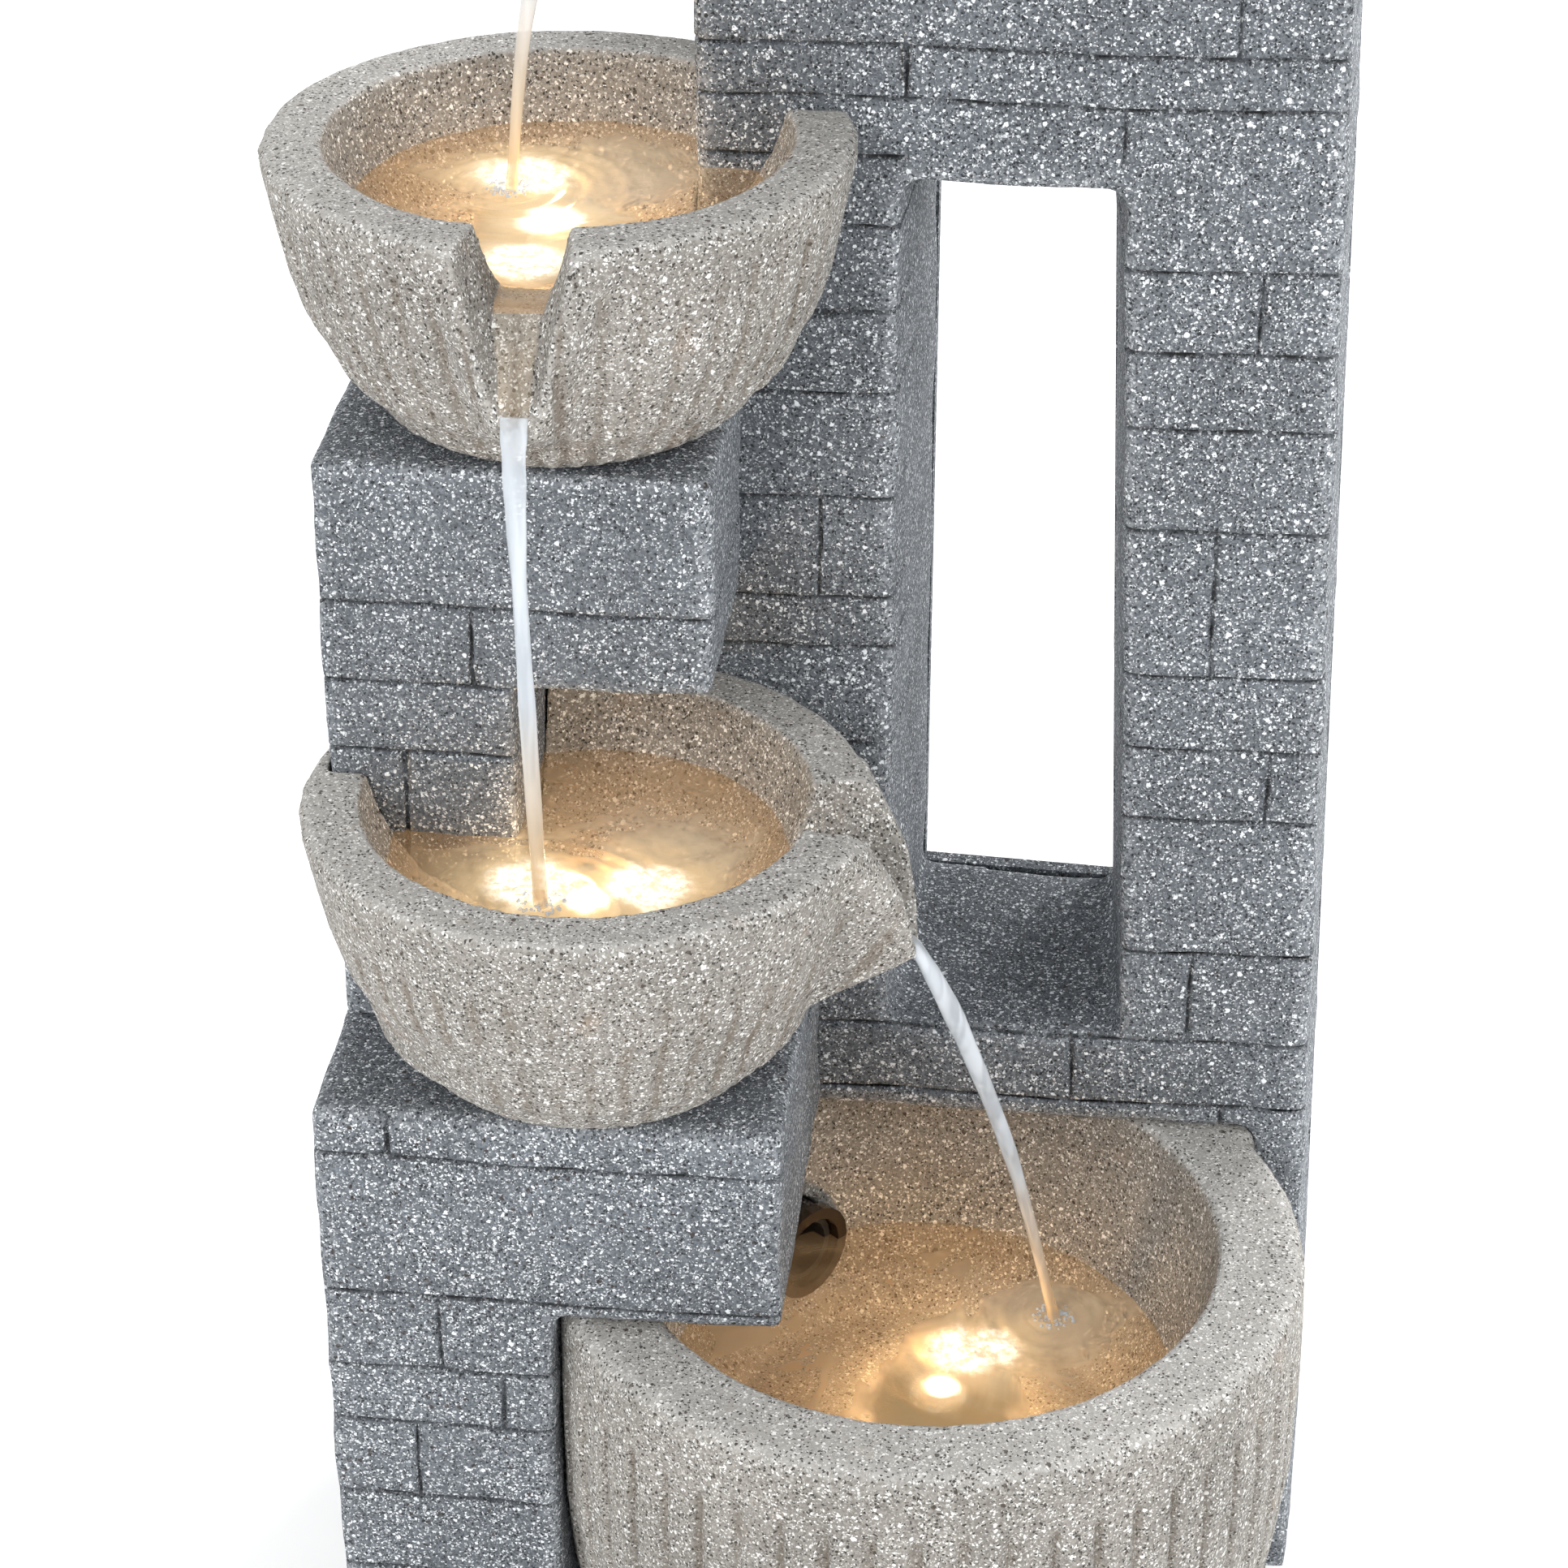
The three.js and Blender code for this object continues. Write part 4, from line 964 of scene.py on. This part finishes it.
stream(
    "stream_upper",
    [
        (-47.8, -67.4, 294.2), (-47.8, -69.2, 287), (-47.7, -69.3, 268), (-47.3, -67.6, 236),
        (-47, -64, 200.4),
    ],
    [4.4, 4.2, 3.6, 3, 2.6], [1.6, 2.9, 2.7, 2.4, 2.3], (1, 0, 0), 0.25, RUNNING_WATER,
)
stream(
    "film_middle",
    [
        (2.6, -46.5, 200.7), (6, -46.5, 197.4), (11.5, -46.5, 190), (14.8, -46.5, 185.6),
    ],
    [8, 7, 5.4, 4.4], [0.6, 0.7, 0.9, 1.4], (0, 1, 0), 2, THIN_WATER,
)
stream(
    "stream_middle",
    [
        (14, -46.5, 187), (17.6, -45.6, 181.4), (24.5, -37.5, 160), (34, -26.6, 124),
        (42.5, -17, 81.2),
    ],
    [4.2, 4.1, 3.6, 3, 2.6], [1.6, 2.8, 2.5, 2.3, 2.2], (0, 1, 0), 0.25, RUNNING_WATER,
)

# %% [markdown]
# Beads of air stay where a stream lands. A small geometry tree scatters points on a disc with a
# fixed seed and puts a little half-sunk bead on each, of varied size.


# %% Bubbles
def bubble_tree():
    sizes = [(name, "Float") for name in ("Density", "Smallest", "Largest")]
    b, given, finish = new_tree("bubbles", sizes + [("Seed", "Int")])
    plugs = {"Mesh": given["Geometry"], "Density": given["Density"], "Seed": given["Seed"]}
    spots = b.add("GeometryNodeDistributePointsOnFaces", plugs)
    bead = b.add("GeometryNodeMeshIcoSphere", {"Radius": 1.0, "Subdivisions": 2})
    plugs = {2: given["Smallest"], 3: given["Largest"], "Seed": given["Seed"]}
    size = b.add("FunctionNodeRandomValue", plugs, data_type="FLOAT").outputs[1]
    plugs = {"Points": spots.outputs[0], "Instance": bead.outputs[0], "Scale": size}
    return finish(b.add("GeometryNodeInstanceOnPoints", plugs).outputs[0])


BUBBLES = bubble_tree()


def bubbles(name, seed):
    lx, ly = LANDINGS[name]
    net = bmesh.new()
    bmesh.ops.create_circle(net, cap_ends=True, segments=24, radius=4.2 * MM)
    bmesh.ops.translate(net, verts=net.verts, vec=at(lx, ly, LEVELS[name] + 0.25))
    mesh = bpy.data.meshes.new("bubbles_" + name)
    net.to_mesh(mesh)
    net.free()
    piece = run_tree(link("bubbles_" + name, mesh), BUBBLES, {
        "Density": 1.4e6, "Smallest": 0.16 * MM, "Largest": 0.42 * MM, "Seed": seed,
        "Finish": RUNNING_WATER,
    })
    piece.data.shade_smooth()
    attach(piece, "fountain")
    print(piece.name, "faces", len(piece.data.polygons))


bubbles("upper", 4)
bubbles("middle", 7)
bubbles("basin", 9)

# %% [markdown]
# ## Lamps
# Each pool has a small warm lamp on its floor. Its lens glows, and a small round light just above
# it lights the bowl from inside.


# %% Lens finish and lamp light
LENS, bench, surface = new_material("lamp_lens")
plugs = {"Vector": bench.place(), "Scale": 900.0}
facets = bench.add("ShaderNodeTexVoronoi", plugs).outputs["Distance"]
glow = bench.mix(bench.step(facets, 0.1, 0.6), linear(255, 250, 236), linear(255, 214, 150))
bench.plug(surface, {
    "Emission Color": glow, "Emission Strength": bench.step(facets, 0.0, 0.7, 9.0, 5.0),
    "Base Color": linear(255, 224, 176), "Roughness": 0.2,
})
LAMP_POWER = {"top": 0.028, "upper": 0.032, "middle": 0.032, "basin": 0.06}  # in W

for name, (x, y, z) in LAMPS.items():
    lamp = bpy.data.lights.new("lamp_" + name, "POINT")
    lamp.color, lamp.energy = (1.0, 0.66, 0.33), LAMP_POWER[name]
    lamp.shadow_soft_size = 3.5 * MM
    holder = bpy.data.objects.new("lamp_" + name, lamp)
    holder.location = at(x, y, z + 5.5)
    bpy.context.collection.objects.link(holder)
    print(lamp.name, lamp.energy, "W")

# %% [markdown]
# ## The works
# Pump, tank, hoses, leads and feet are moulded or drawn parts. Their shapes come straight from the
# engineering model. A moulded finish needs only a fine grain in its gloss and a faint cloud in its
# colour, and each part gets its own depth of grain.


# %% Moulded and drawn finishes
def moulded(
    name, colour, rough, grain_mm, bump_mm, metal=0.0, cloud=0.25, sheer=0.0, streak=(1, 1, 1)
):
    material, bench, surface = new_material(name)
    plugs = {"Vector": bench.place(), "Scale": streak}
    place = bench.add("ShaderNodeMapping", plugs).outputs[0]
    fine = bench.clouds(place, 1000 / grain_mm, 3.0)
    slow = bench.clouds(place, 60.0, 3.0)
    darker = tuple(v * (1 - cloud) for v in colour[:3]) + (1,)
    bench.plug(surface, {
        "Base Color": bench.mix(bench.step(slow, 0.3, 0.7), darker, colour),
        "Roughness": bench.step(fine, 0.25, 0.75, rough * 0.75, min(1, rough * 1.2)),
        "Normal": bench.bump(fine, 0.5, bump_mm * MM),
        "Metallic": metal, "Transmission Weight": sheer,
    })
    return material


FINISHES = {
    "black_plastic": moulded("black_moulding", linear(34, 35, 38), 0.45, 0.5, 0.05),
    "grey_plastic": moulded("grey_moulding", linear(96, 99, 103), 0.5, 0.6, 0.06),
    "rubber": moulded("rubber", linear(28, 28, 28), 0.8, 0.35, 0.08),
    "steel": moulded(
        "brushed_steel", linear(190, 192, 196), 0.28, 0.3, 0.02, metal=1.0, cloud=0.12,
        streak=(1, 1, 8),
    ),
    "clear_hose": moulded(
        "clear_hose", linear(206, 218, 220), 0.15, 0.8, 0.03, cloud=0.15, sheer=0.75
    ),
    "lead_sheath": moulded("lead_sheath", linear(24, 24, 26), 0.55, 0.4, 0.05),
    "warm_lens": LENS,
    "wall_stone": WALL_STONE,
    "bowl_stone": BOWL_STONE,
}
GLAZED = moulded("glazed_return_ring", linear(34, 23, 13), 0.1, 1.2, 0.05, cloud=0.6)


def refinish(node):
    """Puts the finish of its slot, or its own special one, on a node that keeps its shape."""
    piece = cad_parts[node]
    slot = piece.data.materials[0].name.split(".")[0]
    look = GLAZED if node == "return_grommet" else FINISHES[slot]
    for socket in piece.material_slots:
        socket.material = look
    return slot


REPLACED = set(MASONRY) | {"top_bowl", "upper_bowl", "middle_bowl", "basin"}
SCREWS = [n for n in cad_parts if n.startswith("rear_screw")]
kept = [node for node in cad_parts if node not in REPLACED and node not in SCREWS]
slots = [refinish(node) for node in kept]
print({slot: slots.count(slot) for slot in sorted(set(slots))})

# %% [markdown]
# The rear covers are held by cross-head screws. One head is modelled with its cross, and a small
# tree puts a copy on each screw's place, each turned by its own random angle, as a hand would
# leave them.


# %% Rear screws
HEAD_MM = 1.4  # how far a screw's head stands out
RINGS = [(2.8, 0.0), (2.8, 0.25), (2.55, 0.75), (1.9, 1.15), (1.0, 1.38)]  # radius, height


def screw_head(around=32):
    net = bmesh.new()
    angles = [2 * pi * k / around for k in range(around)]

    def ring(radii, height):
        return [
            net.verts.new((r * MM * cos(angle), height * MM, r * MM * sin(angle)))
            for r, angle in zip(radii, angles)
        ]

    rows = [ring([r] * around, height) for r, height in RINGS]
    cross = [0.78 if min(abs(cos(a)), abs(sin(a))) < 0.3 else 0.36 for a in angles]
    rows.append(ring(cross, HEAD_MM))
    rows.append(ring([r * 0.7 for r in cross], 0.6))
    for a, b in zip(rows, rows[1:]):
        for k in range(around):
            j = (k + 1) % around
            net.faces.new((a[k], a[j], b[j], b[k]))
    net.faces.new(rows[0])
    net.faces.new(rows[-1])
    bmesh.ops.recalc_face_normals(net, faces=net.faces)
    mesh = bpy.data.meshes.new("screw_head")
    net.to_mesh(mesh)
    net.free()
    return link("screw_head", mesh)


def screw_tree():
    sockets = (("Head", "Object"), ("Most Turn", "Float"), ("Seed", "Int"))
    b, given, finish = new_tree("screws", sockets)
    head = b.add("GeometryNodeObjectInfo", {"Object": given["Head"]}).outputs["Geometry"]
    plugs = {2: 0.0, 3: given["Most Turn"], "Seed": given["Seed"]}
    angle = b.add("FunctionNodeRandomValue", plugs, data_type="FLOAT").outputs[1]
    turn = b.add("ShaderNodeCombineXYZ", {0: 0.0, 1: angle, 2: 0.0}).outputs[0]
    spots = b.add("GeometryNodeMeshToPoints", {0: given["Geometry"]}).outputs[0]
    plugs = {"Points": spots, "Instance": head, "Rotation": turn}
    return finish(b.add("GeometryNodeInstanceOnPoints", plugs).outputs[0])


head = screw_head()
spots = bpy.data.meshes.new("screw_spots")
corners = [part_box(n) for n in SCREWS]
middles = [((a.x + b.x) / 2, b.y - HEAD_MM * MM, (a.z + b.z) / 2) for a, b in corners]
spots.from_pydata(middles, [], [])
screws = run_tree(link("rear_screws", spots), screw_tree(), {
    "Head": head, "Most Turn": 1.5, "Seed": 6, "Finish": FINISHES["steel"],
})
bpy.data.objects.remove(head)
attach(screws, "fountain")
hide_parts(*SCREWS)
print("screws", len(SCREWS), "faces", len(screws.data.polygons))

# %% [markdown]
# ## Stage and studio light
# A plain pale floor and a large soft light from the front left, as in a product studio. A second
# one from the right and a third from behind reach into the window, and a white surround fills the
# shade that is left.

# %% Stage
bpy.ops.mesh.primitive_plane_add(size=12, location=(0, 0, -0.0002))
floor = bpy.context.object
floor.name = "floor"
paper, bench, surface = new_material("pale_paper")
grain = bench.clouds(bench.place(), 90.0)
bench.plug(surface, {
    "Base Color": bench.mix(grain, (0.97, 0.97, 0.97, 1), (0.99, 0.99, 0.99, 1)),
    "Roughness": 0.9, "Specular IOR Level": 0.0,
    "Emission Color": (1, 1, 1, 1), "Emission Strength": 0.12,
})
floor.data.materials.append(paper)


def softbox(name, place, aim, size, power):
    lamp = bpy.data.lights.new(name, "AREA")
    lamp.shape, lamp.size, lamp.energy = "DISK", size, power
    holder = bpy.data.objects.new(name, lamp)
    holder.location = place
    holder.rotation_euler = (Vector(aim) - Vector(place)).to_track_quat("-Z", "Y").to_euler()
    bpy.context.collection.objects.link(holder)


softbox("key", (-0.7, -1.5, 1.0), (0, 0, 0.2), 0.9, 15)
softbox("side", (1.5, -0.75, 0.75), (0, 0, 0.2), 0.8, 9)
softbox("back", (1.1, 1.5, 1.0), (0.02, 0.03, 0.22), 0.9, 30)
world = bpy.data.worlds.new("studio")
world.use_nodes = True
surround = world.node_tree.nodes["Background"]
surround.inputs["Color"].default_value = (1, 1, 1, 1)
surround.inputs["Strength"].default_value = 0.9
bpy.context.scene.world = world
